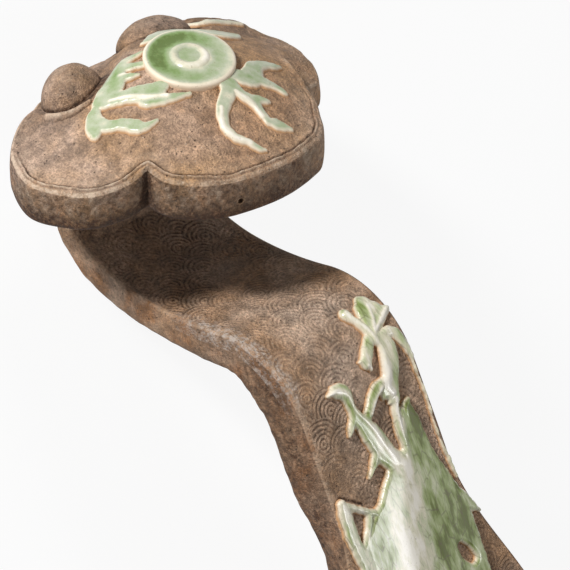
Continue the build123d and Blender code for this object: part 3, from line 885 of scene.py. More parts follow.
def prick_vent(band):
    heading = math.atan2(VENT_ACROSS, FRONT_REACH)
    cos, sin = math.cos(heading), math.sin(heading)
    direction = on_head(cos, sin, 0.0) - on_head(0.0, 0.0, 0.0)
    middle = on_head(PIN_REACH * cos, PIN_REACH * sin, VENT_LEVEL)
    size = {"radius": VENT_RADIUS * MM, "depth": PIN_LENGTH * MM}
    bpy.ops.mesh.primitive_cylinder_add(vertices=24, **size)
    pin = bpy.context.object
    pin.location = Vector(middle) * MM
    pin.rotation_euler = Vector(direction).to_track_quat("Z", "Y").to_euler()
    cut = band.modifiers.new("vent", "BOOLEAN")
    cut.operation = "DIFFERENCE"
    cut.object = pin
    with bpy.context.temp_override(object=band, active_object=band, selected_objects=[band]):
        bpy.ops.object.modifier_apply(modifier=cut.name)
    bpy.data.objects.remove(pin)
    print("vent pricked:", len(band.data.vertices), "points in the band")


prick_vent(head_band)

# %% [markdown]
# The two knobs behind are pressed balls of clay that sink into the cover. Shade is painted into the
# crease around each foot, and their tops are rubbed.

# %% Volute knobs


def knob_piece(name, node, middle, axes):
    turns, levels = 72, 40
    around, up = np.meshgrid(
        np.arange(turns) * 2 * np.pi / turns, np.radians(np.linspace(-70, 88, levels)), indexing="xy"
    )
    u = middle[0] + axes[0] * np.cos(up) * np.cos(around)
    w = middle[1] + axes[1] * np.cos(up) * np.sin(around)
    n = middle[2] + axes[2] * np.sin(up) * (1 + 0.03 * wobble(u, w, 3.0, 2.0))
    points = on_head(u, w, n).reshape(-1, 3)
    faces = tube_faces(levels, turns)
    above = n - face_level(u, w)
    crease_shade = np.clip(0.85 * smooth(1.8, 0.0, above) + darker_behind(u, w), 0, 1)
    numbers = {"shade_and_stain": crease_shade, "wear": 0.3 * smooth(3, 7, above)}
    make_piece(name, points, faces, head_clay, node, "biscuit", numbers)


knob_piece("knob_left", "volute_knob_left", *KNOB_LEFT)
knob_piece("knob_right", "volute_knob_right", *KNOB_RIGHT)

# %% [markdown]
# ## Sprigs
# A sprig is modelled as a relief over a fine grid. Strokes, each a row of (along, across, half
# width), are joined smoothly, and the distance to the edge gives the pillowed height.
# Sprigs that grow into one another are measured together and then cut apart where they meet, so no
# seam shows. Points just outside are pulled onto the edge, and a second layer closes each solid.

# %% Distances to strokes
CELL = 0.25
MELT = 0.5
FAR = 4.0


def flowing(line, steps=5):
    """A stroke's points with smooth points in between."""
    line = np.asarray(line, float)
    padded = np.vstack([2 * line[0] - line[1], line, 2 * line[-1] - line[-2]])
    made = []
    for a, b, c, d in zip(padded, padded[1:], padded[2:], padded[3:]):
        t = (np.arange(steps) / steps)[:, None]
        bend = (2 * a - 5 * b + 4 * c - d) * t**2 + (3 * b - a - 3 * c + d) * t**3
        made.append(0.5 * (2 * b + (c - a) * t + bend))
    made = np.vstack(made + [line[-1:]])
    made[:, 2] = np.maximum(made[:, 2], 0.2)
    return made


def melt(first, second):
    """The smaller of two distances, rounded where they meet."""
    h = np.clip(0.5 + 0.5 * (first - second) / MELT, 0, 1)
    return first + (second - first) * h - MELT * h * (1 - h)


def along_stroke(x, y, line, low):
    """For each span of a stroke: the grid window near it, the distance there and the half width."""
    for (x0, y0, r0), (x1, y1, r1) in zip(line, line[1:]):
        reach = max(r0, r1) + FAR
        window = tuple(
            slice(
                max(int((min(a, b) - reach - start) / CELL), 0),
                max(int((max(a, b) + reach - start) / CELL) + 2, 0),
            )
            for a, b, start in ((x0, x1, low[0]), (y0, y1, low[1]))
        )
        px, py = x[window], y[window]
        dx, dy = x1 - x0, y1 - y0
        t = np.clip(((px - x0) * dx + (py - y0) * dy) / max(dx * dx + dy * dy, 1e-9), 0, 1)
        yield window, np.hypot(px - x0 - t * dx, py - y0 - t * dy), r0 + t * (r1 - r0)


def stroke_distance(x, y, lines, low):
    """Distance to the joined strokes, negative inside and never more than FAR."""
    near = np.full(x.shape, FAR)
    for line in lines:
        own = np.full(x.shape, FAR)
        for window, away, half in along_stroke(x, y, flowing(line), low):
            own[window] = np.minimum(own[window], away - half)
        near = melt(near, own)
    return near


def ridge_height(x, y, lines, low, slim):
    """Rounded ridges along strokes, about 0 to 1; narrow ones are lowered to the share `slim`."""
    height = np.zeros(x.shape)
    for line in lines:
        for window, away, half in along_stroke(x, y, flowing(line), low):
            hump = np.clip(slim + 0.12 * half, 0, 1) * bell(away, half)
            height[window] = np.maximum(height[window], hump)
    return height


print("strokes are measured on cells of", CELL, "mm")

# %% [markdown]
# The builder below turns a group of sprigs into meshes. Ridges lift the surface and thin the glaze;
# in the hollows beside them the glaze pools.

# %% Relief builder
EDGE_WOBBLE = 0.16
RIM_SPAN = 1.3
UNDERSIDE = -0.6


def relief_mesh(cells, columns, lift, x, y, level):
    """Points and faces of one closed relief, and the grid points it uses."""
    row, column = np.nonzero(cells)
    corner = row * columns + column
    quads = np.stack([corner, corner + columns, corner + columns + 1, corner + 1], axis=1)
    used, quads = np.unique(quads, return_inverse=True)
    quads = quads.reshape(-1, 4)
    total = len(used)
    px, py = x.ravel()[used], y.ravel()[used]
    top = lift(px, py, level.ravel()[used])
    bottom = lift(px, py, np.full(total, UNDERSIDE))
    sides = np.concatenate([quads[:, [k, (k + 1) % 4]] for k in range(4)])
    is_open = ~np.isin(sides[:, 0] * total + sides[:, 1], sides[:, 1] * total + sides[:, 0])
    sides = sides[is_open]
    ring, place = np.unique(sides, return_inverse=True)
    place = place.reshape(-1, 2) + 2 * total
    drop = len(ring)
    walls = np.stack([place[:, 1], place[:, 0], place[:, 0] + drop, place[:, 1] + drop], axis=1)
    points = np.vstack([top, bottom, top[ring], bottom[ring]])
    faces = np.vstack([quads, quads[:, ::-1] + total, walls])
    return points, faces, np.concatenate([used, used, used[ring], used[ring]]), total


def relief_group(lift, sprigs, height, edge, material, slot, holes=(), ridges=(), hollows=()):
    """Reliefs that grow into one another; each sprig is (piece, node, pool, fullness, strokes)."""
    strokes = [[np.asarray(line, float) * (1, 1, sprig[3]) for line in sprig[4]] for sprig in sprigs]
    ends = np.vstack([line for lines in strokes for line in lines])
    low = (ends[:, :2] - ends[:, 2:]).min(0) - 1.5
    high = (ends[:, :2] + ends[:, 2:]).max(0) + 1.5
    xs, ys = (np.arange(start, end, CELL) for start, end in zip(low, high))
    x, y = np.meshgrid(xs, ys, indexing="ij")

    def measure(x, y):
        apart = np.array([stroke_distance(x, y, lines, low) for lines in strokes])
        joined = apart[0]
        for other in apart[1:]:
            joined = melt(joined, other)
        joined = joined + EDGE_WOBBLE * wobble(x, y, 0.9, 3.0)
        if len(holes):
            joined = np.maximum(joined, -stroke_distance(x, y, holes, low))
        return joined, apart

    inside, apart = measure(x, y)
    slope = np.gradient(inside, CELL)
    steep = np.maximum(np.hypot(*slope), 0.4) ** 2
    outer = inside > 0
    for _ in range(2):
        off = np.where(outer, np.clip(measure(x, y)[0], -CELL, CELL), 0)
        x, y = x - off * slope[0] / steep, y - off * slope[1] / steep
    depth = np.maximum(-inside, 0)
    rise = np.sqrt(1 - (1 - np.clip(depth / edge, 0, 1)) ** 2)
    crest, line = (ridge_height(x, y, ridges, low, slim) for slim in (0.35, 0.8))
    sink = ridge_height(x, y, hollows, low, 1.0)
    level = height * rise * (0.76 + 0.32 * crest)
    share = np.exp(-(apart - apart.min(0)) / 0.8)
    pools = np.array([sprig[2] for sprig in sprigs])[:, None, None]
    pool = (share * pools).sum(0) / share.sum(0) + 0.1 * smooth(1.5, 5.0, depth)
    # Ridges thin the glaze to white; on the shaft's growth this white is partly a painted highlight.
    pool = np.clip(pool - 0.65 * line + 0.16 * sink + 0.14 * wobble(x, y, 2.2, 5.0), 0, 1)
    this, after = slice(None, -1), slice(1, None)
    corners = [(this, this), (after, this), (this, after), (after, after)]
    kept = np.minimum.reduce([inside[c] for c in corners]) < 0
    owner = np.argmin(sum(apart[(slice(None), *c)] for c in corners), axis=0)
    for k, (name, node, _, _, _) in enumerate(sprigs):
        points, faces, used, total = relief_mesh(kept & (owner == k), x.shape[1], lift, x, y, level)
        on_top = np.arange(len(used)) < total
        rim = np.where(on_top, np.clip(depth.ravel()[used] / RIM_SPAN, 0, 1), 0)
        numbers = {"rim": rim, "pool": np.where(on_top, pool.ravel()[used], 0)}
        if slot == "biscuit":
            # Painted shade at the foot of a clay relief, rubbed pale on top.
            numbers = {"shade_and_stain": 0.5 * (1 - rim), "wear": 0.8 * rim}
        make_piece(name, points, faces, material, node, slot, numbers)


def over_head(u, w, height):
    return on_head(u, w, face_level(u, w) + height)


print("relief builder ready")

# %% [markdown]
# ### The pearl
# The disc is flat with a low ring. Its edge is thin and cream, a broad trough of green glaze lies
# between edge and ring, deepest on the far side, and a lighter green fills the middle.

# %% Pearl disc and ring
DISC_AT = (2.8, 0.8)
DISC_RADIUS = 11.7
DISC_TILT = (-0.12, 0.03)
PEARL_SINK = 0.3
pearl_level = float(face_level(*DISC_AT)) - PEARL_SINK


def turned_piece(name, node, profile, closed_middle):
    """A form turned about the pearl's middle; profile rows are (radius, height, rim, pool)."""
    steps = 96
    around = np.arange(steps) * 2 * np.pi / steps
    radius, height, rim, pool = np.asarray(profile, float).T[:, :, None]
    du, dw = radius * np.cos(around), radius * np.sin(around)
    u, w = DISC_AT[0] + du, DISC_AT[1] + dw
    flat = pearl_level + DISC_TILT[0] * du + DISC_TILT[1] * dw + height
    n = np.where(height < 0, face_level(u, w) + height, flat)
    points = on_head(u, w, n).reshape(-1, 3)
    faces = tube_faces(len(profile), steps)
    if not closed_middle:
        turns, last = np.arange(steps), (len(profile) - 1) * steps
        faces = faces[:-2] + [(last + a, last + b, b, a) for a, b in zip(turns, np.roll(turns, -1))]
    lean = -0.34 * du / DISC_RADIUS - 0.12 * dw / DISC_RADIUS
    numbers = {"rim": rim + 0 * u, "pool": np.clip(pool + lean * smooth(0.4, 1.0, rim), 0, 1)}
    make_piece(name, points, faces, head_glaze, node, "celadon", numbers)


disc_profile = [(11.5, -0.5, 0.1, 0), (11.7, 0.0, 0.15, 0)]
disc_profile += [(11.64, 0.42, 0.17, 0.05), (11.4, 0.72, 0.2, 0.1)]
disc_profile += [(11.05, 0.88, 0.4, 0.2), (10.6, 0.9, 0.65, 0.4)]
disc_profile += [(10.0, 0.86, 0.9, 0.6), (9.0, 0.8, 1, 0.72)]
disc_profile += [(8.0, 0.78, 1, 0.72), (7.0, 0.8, 1, 0.72), (6.2, 0.88, 1, 0.62), (5.4, 1.0, 1, 0.45)]
disc_profile += [(4.6, 1.15, 1, 0.3), (3.8, 1.25, 1, 0.3), (3.0, 1.32, 1, 0.42), (2.2, 1.34, 1, 0.52)]
disc_profile += [(1.2, 1.34, 1, 0.56), (0.1, 1.34, 1, 0.56)]
turned_piece("pearl", "pearl_disc", disc_profile, True)

ring_profile = [(5.3, 0.9, 1, 0.45), (4.9, 1.3, 1, 0.25), (4.5, 1.62, 1, 0.14), (4.0, 1.74, 1, 0.1)]
ring_profile += [(3.5, 1.68, 1, 0.16), (3.0, 1.5, 1, 0.3), (2.5, 1.25, 1, 0.5)]
turned_piece("pearl_ring_bead", "pearl_ring", ring_profile, False)

# %% [markdown]
# ### Flames on the head
# Each flame is a thin lick of clay. Rows are (u, w, half width) in millimetres, in the head's frame.
# The small ridges are the cream lines where the glaze runs off.

# %% Flames
FLAME_HEIGHT = 1.5
FLAME_EDGE = 0.9

SHOULDER = [[(-12.2, -0.6, 0.5), (-12.3, 1.3, 0.9), (-13.3, 5.4, 1.5), (-14, 9, 1.6), (-13.5, 13, 1.2)]]
BACK_OUTER = [
    [(-21.5, 24.6, 0.5), (-19.8, 24.7, 0.7), (-18.3, 25.8, 0.9), (-17.8, 28.5, 1)],
    [(-17.8, 28.5, 1), (-17.4, 33, 1), (-16.8, 36.8, 0.8), (-16, 39.5, 0.5)],
]
BACK_INNER = [
    [(-11, 14.3, 1.1), (-9.8, 18.2, 2.3), (-8.4, 22.3, 2.7), (-8.2, 26.4, 2), (-8.9, 30.4, 0.6)],
]
LEFT = [
    [(-9.3, -12, 1.6), (-8, -14.5, 2.2), (-6, -17.5, 2.6), (-5, -20.5, 2.4), (-5, -22.3, 1.8)],
    [(-8.2, -4.6, 0.5), (-8.9, -7.2, 0.9), (-9.5, -10.2, 1.2), (-9.3, -12, 1.5)],
    [(-8.5, -12.6, 1.4), (-6.5, -10.8, 1.2), (-4.8, -9.4, 1), (-3, -7.8, 0.9)],
    [(-5.5, -15, 1.2), (-3.3, -13, 0.8), (-2.2, -12, 0.4)],
    [(-4, -22, 1.6), (-1.2, -19.6, 1.6), (1.5, -17, 1.9), (4.6, -14.6, 2.2), (5.6, -11.4, 1.4)],
    [(5.2, -16.6, 1.6), (8, -14.2, 1.3), (10, -11.8, 0.9), (12, -8.2, 0.4)],
]
LEFT_TAIL = [
    [(-4.6, -24.6, 1.3), (-3.2, -26.6, 2), (-1, -28.2, 2.3), (0.6, -29.6, 1.5)],
    [(-1, -27.5, 2), (2, -26.6, 1.6), (5, -24.4, 1.5), (8, -23.2, 1.7)]
    + [(10.2, -21.6, 1.1), (11.3, -18.8, 0.5)],
]
CLAW = [
    [(13, 2, 2), (16.8, 0.2, 2.2), (18.6, -2.8, 2), (20.6, -5.6, 1.9), (23.4, -7.6, 1.5)],
    [(23.4, -7.6, 1.5), (26.6, -7.6, 1.4), (29.4, -5.6, 1.2), (32, -4.4, 1), (33, -3.2, 0.5)],
]
MIDDLE = [
    [(15.5, 3, 1.9), (18.6, 2.6, 1.7), (21.8, 4, 1.9), (24.6, 3.6, 1.5), (27.6, 3.6, 1.3)],
    [(27.6, 3.6, 1.3), (29.3, 5.3, 1.7), (31.5, 7.6, 0.7)],
    [(21.6, 5.4, 1.5), (22.6, 7.2, 1.1), (23.2, 8.3, 0.6)],
]
UPPER = [
    [(12, 4.5, 2.2), (15.6, 8.2, 2.6), (14.8, 11, 2.8), (12.6, 13.8, 2.2)],
    [(12.6, 13.8, 2.2), (11.8, 17, 1.7), (12.2, 20.5, 1.5), (12.6, 23.6, 0.6)],
    [(15.6, 9.5, 2.2), (17.3, 11.8, 1.9), (19.4, 14, 1.4), (21.6, 15.2, 1), (22.3, 15.6, 0.6)],
]
flames = [
    ("flame_shoulder_lick", "flame_shoulder", 0.4, 1.8, SHOULDER),
    ("flame_back_outer_lick", "flame_back_outer", 0.2, 1.1, BACK_OUTER),
    ("flame_back_inner_lick", "flame_back_inner", 0.4, 1.6, BACK_INNER),
    ("flame_left_lick", "flame_left", 0.5, 1.38, LEFT),
    ("flame_left_tail_lick", "flame_left_tail", 0.46, 1.12, LEFT_TAIL),
    ("flame_right_upper_lick", "flame_right_upper", 0.44, 1.06, UPPER),
    ("flame_right_middle_lick", "flame_right_middle", 0.4, 1.0, MIDDLE),
    ("flame_right_claw_lick", "flame_right_claw", 0.38, 0.95, CLAW),
]
flame_ridges = [
    [(-2.6, -21.6, 0.5), (1.2, -18.4, 0.7), (5, -16.4, 0.8), (8.6, -13, 0.6)],
    [(19.6, -5, 0.5), (23, -8, 0.6), (26.8, -8, 0.7), (30, -5.6, 0.6)],
    [(18, 1.8, 0.5), (22, 3, 0.7), (26, 2.8, 0.6)],
    [(-4.6, -12.6, 0.4), (-6.4, -14.6, 0.6)],
]
flame_hollows = [
    [(13.4, 3.4, 1.4), (15.6, 2.6, 1.3), (17.4, 0.6, 0.9)],
    [(14.6, 7, 0.9), (15.6, 9, 1.0)],
]
glaze_lines = {"ridges": flame_ridges, "hollows": flame_hollows}
relief_group(over_head, flames, FLAME_HEIGHT, FLAME_EDGE, head_glaze, "celadon", **glaze_lines)

# %% [markdown]
# The curled ridge in front of the left knob is clay, not glaze. The same builder makes it, with the
# head's clay.

# %% Volute ridge
CURL = [
    [(-17, -29.5, 0.9), (-14.7, -28.9, 1.2), (-13.2, -28, 1.3), (-10.8, -26.1, 1.1), (-9, -23, 0.7)],
]
CURL_HEIGHT = 1.3
CURL_EDGE = 2.2
curl = [("volute_curl", "volute_ridge", 0.0, 1.6, CURL)]
relief_group(over_head, curl, CURL_HEIGHT, CURL_EDGE, head_clay, "biscuit")

# %% [markdown]
# ## The shaft
# The face was stamped with overlapping waves before the sprigs went on: each wave is a set of
# concentric arcs, rounded toward the head, and each row covers part of the one before. No two
# stampings are alike in size or place, and the pattern is worn in places. It is real relief.

# %% Stamped waves
WAVE_RADIUS = 6.3
WAVE_PITCH = 1.2
WAVE_DEPTH = 0.36
ROW_GAP = 0.8 * WAVE_RADIUS
COLUMN_GAP = 1.75 * WAVE_RADIUS
WAVE_STRAY = 2.4


def chance(row, column, kind):
    """A repeatable number from 0 to 1 for each stamping."""
    mixed = np.sin(row * 12.9898 + column * 78.233 + kind * 37.719) * 437.585
    return mixed - np.floor(mixed)


def stamped_waves(s, y):
    """Height of the wave pattern, about -1 to 1, at a distance along the face and across it."""
    height = np.zeros(np.broadcast(s, y).shape)
    done = np.zeros(height.shape, bool)
    for ahead_rows in (3, 2, 1, 0, -1, -2):
        row = np.floor(s / ROW_GAP) + ahead_rows
        shift = np.where(row % 2 == 0, 0.0, COLUMN_GAP / 2)
        nearest = np.round((y - shift) / COLUMN_GAP)
        for beside in (0, -1, 1):
            column = nearest + beside
            stray_s = WAVE_STRAY * (chance(row, column, 1) - 0.5)
            stray_y = WAVE_STRAY * (chance(row, column, 2) - 0.5)
            reach = WAVE_RADIUS * (0.85 + 0.3 * chance(row, column, 3))
            away = np.hypot(s - row * ROW_GAP - stray_s, y - shift - column * COLUMN_GAP - stray_y)
            away = away + 0.12 * wobble(s, y, 1.7, 2.0)
            hit = (away < reach) & ~done
            height = np.where(hit, np.cos(2 * np.pi * (away - reach) / WAVE_PITCH), height)
            done |= hit
    return height


print("wave pitch", WAVE_PITCH, "mm")

# %% [markdown]
# The slab and the spine below it are swept along the course as closed loops of points, station by
# station. The slab's loop runs across the stamped face, round its edges and down the sides. The left
# side flares outward below the edge, and both pieces follow it.

# %% Stations of the shaft
EDGE_ROUND = 0.9
SPINE_ROUND = 2.0
FACE_COLUMNS = 150
STATION = 0.32
TIP_LENGTH = 14.0
LEFT_FLARE = 2.0
LOWER_LEAN = 4.0

first_clay = np.searchsorted(course_depth[:trough_end], 0.05)
station_s = np.arange(course_s[first_clay], course_s[-1] - TIP_LENGTH, STATION)
tip_s = course_s[-1] - TIP_LENGTH * (1 - np.sin(np.linspace(0, np.pi / 2, 40))) - 0.02
station_s = np.concatenate([station_s, tip_s[1:]])
station_x = np.interp(station_s, course_s, course_x)
station_z = np.interp(station_s, course_s, course_z)
station_heading = np.interp(station_s, course_s, course_heading)
station_depth = np.interp(station_s, course_s, course_depth)
station_half = np.maximum(half_width(station_x) + 0.12 * np.sin(station_s / 9.0), 0.02)
station_middle = face_middle(station_x)


def lay(depth, y):
    """Points at a depth below the face, station by station, kept above the table."""
    x = station_x[:, None] + depth * np.sin(station_heading)[:, None]
    z = station_z[:, None] - depth * np.cos(station_heading)[:, None]
    x, y, z = np.broadcast_arrays(x, y + station_middle[:, None], np.maximum(z, 0.0))
    return np.stack([x, y, z], axis=-1)


def flare(depth, side):
    """How far the side leans out below the edge."""
    at = station_x[:, None]
    out = LEFT_FLARE * smooth(24, 46, at) * smooth(95, 70, at) * smooth(0.5, 8.0, depth) * (side < 0)
    tuck_in = LOWER_LEAN * smooth(70, 115, at) * smooth(2.0, 12.0, depth)
    return (out - tuck_in) * smooth(230, 150, at) * smooth(0.0, 12.0, station_half)[:, None]


def swept_piece(name, node, loops, numbers):
    """A piece swept along the shaft: one closed loop of points at each station."""
    faces = tube_faces(*loops.shape[:2])
    make_piece(name, loops.reshape(-1, 3), faces, shaft_clay_brightened, node, "biscuit", numbers)


print("stations:", len(station_s))

# %% [markdown]
# The stamped field stops short of plain borders. The left edge is rubbed to a pale line, with lime
# flecks where the shaft bends, and the side below it stays warm, darkened by painted shade away
# from the head. Painted shade also fills the wave troughs and darkens the face under the head.

# %% Shaft slab
BORDER = (0.8, 1.2)
CRACK = ((76.2, -19.4), (81.0, -13.2), 0.3)


def crack_near(x, y):
    """A short firing crack, 1 along its middle."""
    (x0, y0), (x1, y1), width = CRACK
    t = np.clip(((x - x0) * (x1 - x0) + (y - y0) * (y1 - y0)) / ((x1 - x0) ** 2 + (y1 - y0) ** 2), 0, 1)
    away = np.hypot(x - x0 - t * (x1 - x0), y - y0 - t * (y1 - y0))
    return bell(away, width)


def slab_piece():
    half = station_half[:, None]
    at = station_x[:, None]
    round_ = np.minimum(EDGE_ROUND, half * 0.5)
    deep = np.minimum(SLAB_THICKNESS, station_depth)[:, None]
    y = np.linspace(-1, 1, FACE_COLUMNS)[None, :] * (half - round_)
    to_left, to_right = y + half, half - y
    field = smooth(BORDER[0], BORDER[0] + 1.2, to_left) * smooth(BORDER[1], BORDER[1] + 1.2, to_right)
    worn = np.clip(0.62 + 0.4 * wobble(station_s[:, None], y, 8.0, 2.0), 0.15, 1.0)
    waves = stamped_waves(station_s[:, None], y) * field * worn
    column_s = station_s[:, None]
    uneven = 0.14 * wobble(column_s, y, 9.0, 7.0) + 0.05 * wobble(column_s, y, 1.4, 3.0)
    crack = crack_near(at, y + station_middle[:, None])
    ends_fade = smooth(0.0, 1.0, station_depth)[:, None]
    face_depth = -(WAVE_DEPTH * 0.5 * waves + uneven - 0.4 * crack) * ends_fade
    corner = np.radians((18, 36, 54, 72))[None, :]
    side_depth = np.minimum(round_ * (1 - np.cos(corner)), deep)
    side_y = half - round_ + round_ * np.sin(corner)
    walls = np.minimum(np.linspace(EDGE_ROUND, SLAB_THICKNESS, 5)[None, :], deep)
    left_depth = np.concatenate([walls[:, ::-1], side_depth[:, ::-1]], axis=1)
    left_y = np.concatenate([half + flare(walls, -1)[:, ::-1], side_y[:, ::-1]], axis=1)
    right_y = np.concatenate([side_y, half + flare(walls, 1)], axis=1)
    left = lay(left_depth, -left_y)
    right_side = lay(left_depth[:, ::-1], right_y)
    under = lay(np.repeat(deep, 5, axis=1), np.linspace(0.8, -0.8, 5)[None, :] * half)
    loops = np.concatenate([left, lay(face_depth, y), right_side, under], axis=1)
    pad = [(0, 0), (left.shape[1], right_side.shape[1] + under.shape[1])]
    # Painted shade in the wave troughs and under the head; the firing crack is its own dark line.
    shade_and_crack = np.clip(0.55 * np.clip(-waves, 0, 1) + 0.06 + 0.4 * smooth(27, 14, at) + crack, 0, 1)
    shade_and_stain = np.pad(shade_and_crack, pad, constant_values=0.5)
    # Painted shade on the left side, darker away from the head.
    shade_and_stain[:, :5] = 0.12 + 0.42 * smooth(14, 40, at)
    shade_and_stain[:, 5 : left.shape[1]] = 0.15
    edge_line = smooth(2.2, 0.4, to_left)
    wear = np.pad(0.35 * np.clip(waves, 0, 1) + 0.4 * edge_line, pad, constant_values=0.1)
    wear[:, 5 : left.shape[1]] = 0.35
    bend = smooth(18, 26, at) * smooth(54, 44, at)
    chalk = np.pad(smooth(5.5, 1.0, to_left) * bend, pad)
    chalk[:, : left.shape[1]] = 0.9 * bend
    warm = np.pad(0.2 * smooth(6.0, 0.5, np.minimum(to_left, to_right)), pad, constant_values=0.9)
    numbers = {"shade_and_stain": shade_and_stain, "wear": wear, "chalk": chalk, "flash": warm}
    swept_piece("wave_slab", "shaft_face", loops, numbers)


slab_piece()

# %% [markdown]
# The spine is plain. Its lower edges are rounded, and its underside is rubbed flat where the sceptre
# rests on the table.

# %% Shaft spine
keep = station_depth > SLAB_THICKNESS + 0.3


def spine_piece():
    half = station_half[:, None]
    top = np.minimum(SLAB_THICKNESS, station_depth)[:, None]
    deep = np.maximum(station_depth[:, None], top)
    round_ = SPINE_ROUND + 4.0 * smooth(40, 16, station_x)[:, None]
    round_ = np.minimum(np.minimum(round_, half * 0.5), (deep - top) * 0.9)
    walls = top + (deep - round_ - top) * np.linspace(0, 1, 10)[None, :]
    corner = np.radians((18, 36, 54, 72, 90))[None, :]
    depth = np.concatenate([walls, deep - round_ + round_ * np.sin(corner)], axis=1)
    tuck = np.concatenate([0 * walls, round_ * (1 - np.cos(corner))], axis=1)
    lump = 0.14 * wobble(station_s[:, None], depth, 1.7, 9.0) * smooth(4.0, 7.0, depth)
    right_y = np.maximum(half + flare(depth, 1) - tuck + lump, 0.01)
    left_y = np.maximum(half + flare(depth, -1) - tuck + lump, 0.01)
    under_y = np.linspace(0.9, -0.9, 9)[None, :] * np.maximum(half - round_, half * 0.3)
    over_y = np.linspace(-0.8, 0.8, 5)[None, :] * half
    parts = [lay(depth, right_y), lay(np.repeat(deep, 9, axis=1), under_y)]
    parts += [lay(depth[:, ::-1], -left_y[:, ::-1]), lay(np.repeat(top, 5, axis=1), over_y)]
    loops = np.concatenate(parts, axis=1)[keep]
    # Painted shade: the sides are darker away from the head and toward the lower edge.
    dark = 0.14 + 0.5 * smooth(14, 40, station_x)[:, None] + 0.15 * smooth(8.0, 12.0, depth)
    for strength, scale, seed in ((0.14, 3.0, 4.0), (0.1, 0.9, 2.0)):
        dark = dark + strength * wobble(station_s[:, None], depth, scale, seed)
    under, over = (np.full((len(station_s), columns), 0.4) for columns in (9, 5))
    shade_and_stain = np.concatenate([dark, under, dark[:, ::-1], over], axis=1)[keep]
    numbers = {"shade_and_stain": np.clip(shade_and_stain, 0, 1), "flash": np.full(shade_and_stain.shape, 0.9)}
    numbers["wear"] = np.full(shade_and_stain.shape, 0.15)
    swept_piece("shaft_spine", "shaft_back", loops, numbers)


spine_piece()

# %% [markdown]
# The neck is a short stub that joins the shaft to the head's underside. It flares at both ends, where
# the potter smoothed the slip.

# %% Neck
NECK_SQUARENESS = 0.45
NECK_SLIM = 0.2
NECK_SINK = 0.3
NECK_WAIST = 0.12


def neck_piece():
    steps, levels = 64, 24
    around = np.arange(steps) * 2 * np.pi / steps
    middle_u = NECK_BACK + NECK_THICKNESS / 2
    cu, cw = (np.sign(c) * np.abs(c) ** NECK_SQUARENESS for c in (np.cos(around), np.sin(around)))
    u0 = middle_u + (NECK_THICKNESS / 2 - NECK_SLIM) * cu
    w0 = (NECK_WIDTH / 2 - NECK_SLIM) * cw
    low = trough_middle_n - np.sqrt(TROUGH_RADIUS**2 - (u0 - TROUGH[0]) ** 2) - NECK_SINK
    high = base_level(np.hypot(u0, w0), 0) + NECK_SINK
    share = np.linspace(0, 1, levels)[:, None]
    waist = 1 - NECK_WAIST * np.sin(np.pi * share)
    u = middle_u + (u0 - middle_u) * waist
    w = w0 * waist
    n = low + (high - low) * share
    points = on_head(u, w, n).reshape(-1, 3)
    faces = tube_faces(levels, steps)
    # Painted shade, darkest where the neck meets the head and the shaft.
    dark = np.repeat(0.4 + 0.3 * np.abs(share - 0.5), steps, axis=1)
    make_piece("neck_stub", points, faces, shaft_clay_brightened, "neck", "biscuit", {"shade_and_stain": dark})


neck_piece()

# %% [markdown]
# ### Branches on the shaft
# The relief on the shaft is a branching, creature-like growth that thickens toward the middle. Its
# glaze is thick and glassy. Rows are (x, y, half width), seen from above.

# %% Strokes of the branches
CREST = [
    [(38, 6.5, 1.8), (39.6, 7.1, 1.3), (43.2, 8.4, 1.35), (46, 9.2, 1.8)],
    [(45.4, 9.8, 1.2), (42.5, 11.3, 2.2), (39.7, 12.5, 2.9), (38.3, 13.2, 2.6)],
    [(44.6, 10.6, 1), (43, 14, 1.4), (41.6, 17.2, 1.3), (41.4, 18.4, 0.7)],
    [(43.6, 12.2, 1.4), (41.6, 14.4, 2.2), (40, 15.4, 1.8)],
    [(42.4, 9.8, 1.2), (40, 10.6, 1.8), (38, 10.6, 0.9)],
    [(45.6, 7.4, 1.6), (47.6, 5.2, 1.9), (49.4, 3.4, 1.9), (50.6, 2.6, 1.2)],
    [(49.4, 3, 1.2), (48.9, 1.2, 0.5)],
    [(50, 3.8, 1.2), (52.2, 3.4, 0.5)],
    [(45.5, 9, 1.6), (48.4, 11.3, 2.9), (53.3, 9.9, 3.1), (56.5, 8.5, 2.9)]
    + [(58.9, 6.6, 3.5), (61.4, 7.2, 2.4)],
]
HOOK = [
    [(51.7, -12.4, 0.6), (51.8, -10.8, 1.2), (51.9, -9.3, 2.1), (53.2, -7.4, 2.3), (55.6, -7, 1.7)],
    [(55.6, -7, 1.7), (57.6, -6.9, 1.5), (60.3, -6.4, 2.1), (63.2, -5, 2.7)]
    + [(67.4, -3.2, 3.4), (71.8, -1.8, 3.6)],
    [(71.8, -1.8, 3.6), (76, 0.6, 3.4)],
    [(60.6, -7.6, 1.4), (61.8, -8.8, 1.2), (63.7, -10.4, 0.6)],
    [(71.6, -4, 1.8), (73.8, -6.2, 1.2), (76.1, -8.8, 0.5)],
    [(57.4, 5.4, 2.2), (56.8, 3.6, 1.9), (58.3, 0.8, 1.7), (60.4, -1.2, 1.6), (62.5, -3.7, 1.6)],
]
BODY = [
    [(61.8, 7.3, 1.5), (65.4, 6.1, 1.4), (69.9, 5.6, 1.6), (74.6, 5.5, 2.2)],
    [(63.9, 11.6, 0.7), (65.3, 10.2, 1.8), (69.8, 10.2, 2.9), (74.2, 9.4, 4), (79, 7.4, 6.6)],
    [(65.6, 8, 1.2), (69, 7.8, 2.4), (74, 7.4, 3.8)],
    [(76, 5.5, 5.2), (81, 5.4, 8.8), (86, 4.2, 11.4), (92, 3, 14.6), (100, 3.6, 16), (115, 3, 17)],
    [(86, -6, 4), (88.4, -8.6, 5), (92, -11, 6), (97, -14, 7.5), (106, -14, 8.5)],
    [(95, 17, 3), (101, 22.4, 0.6)],
]
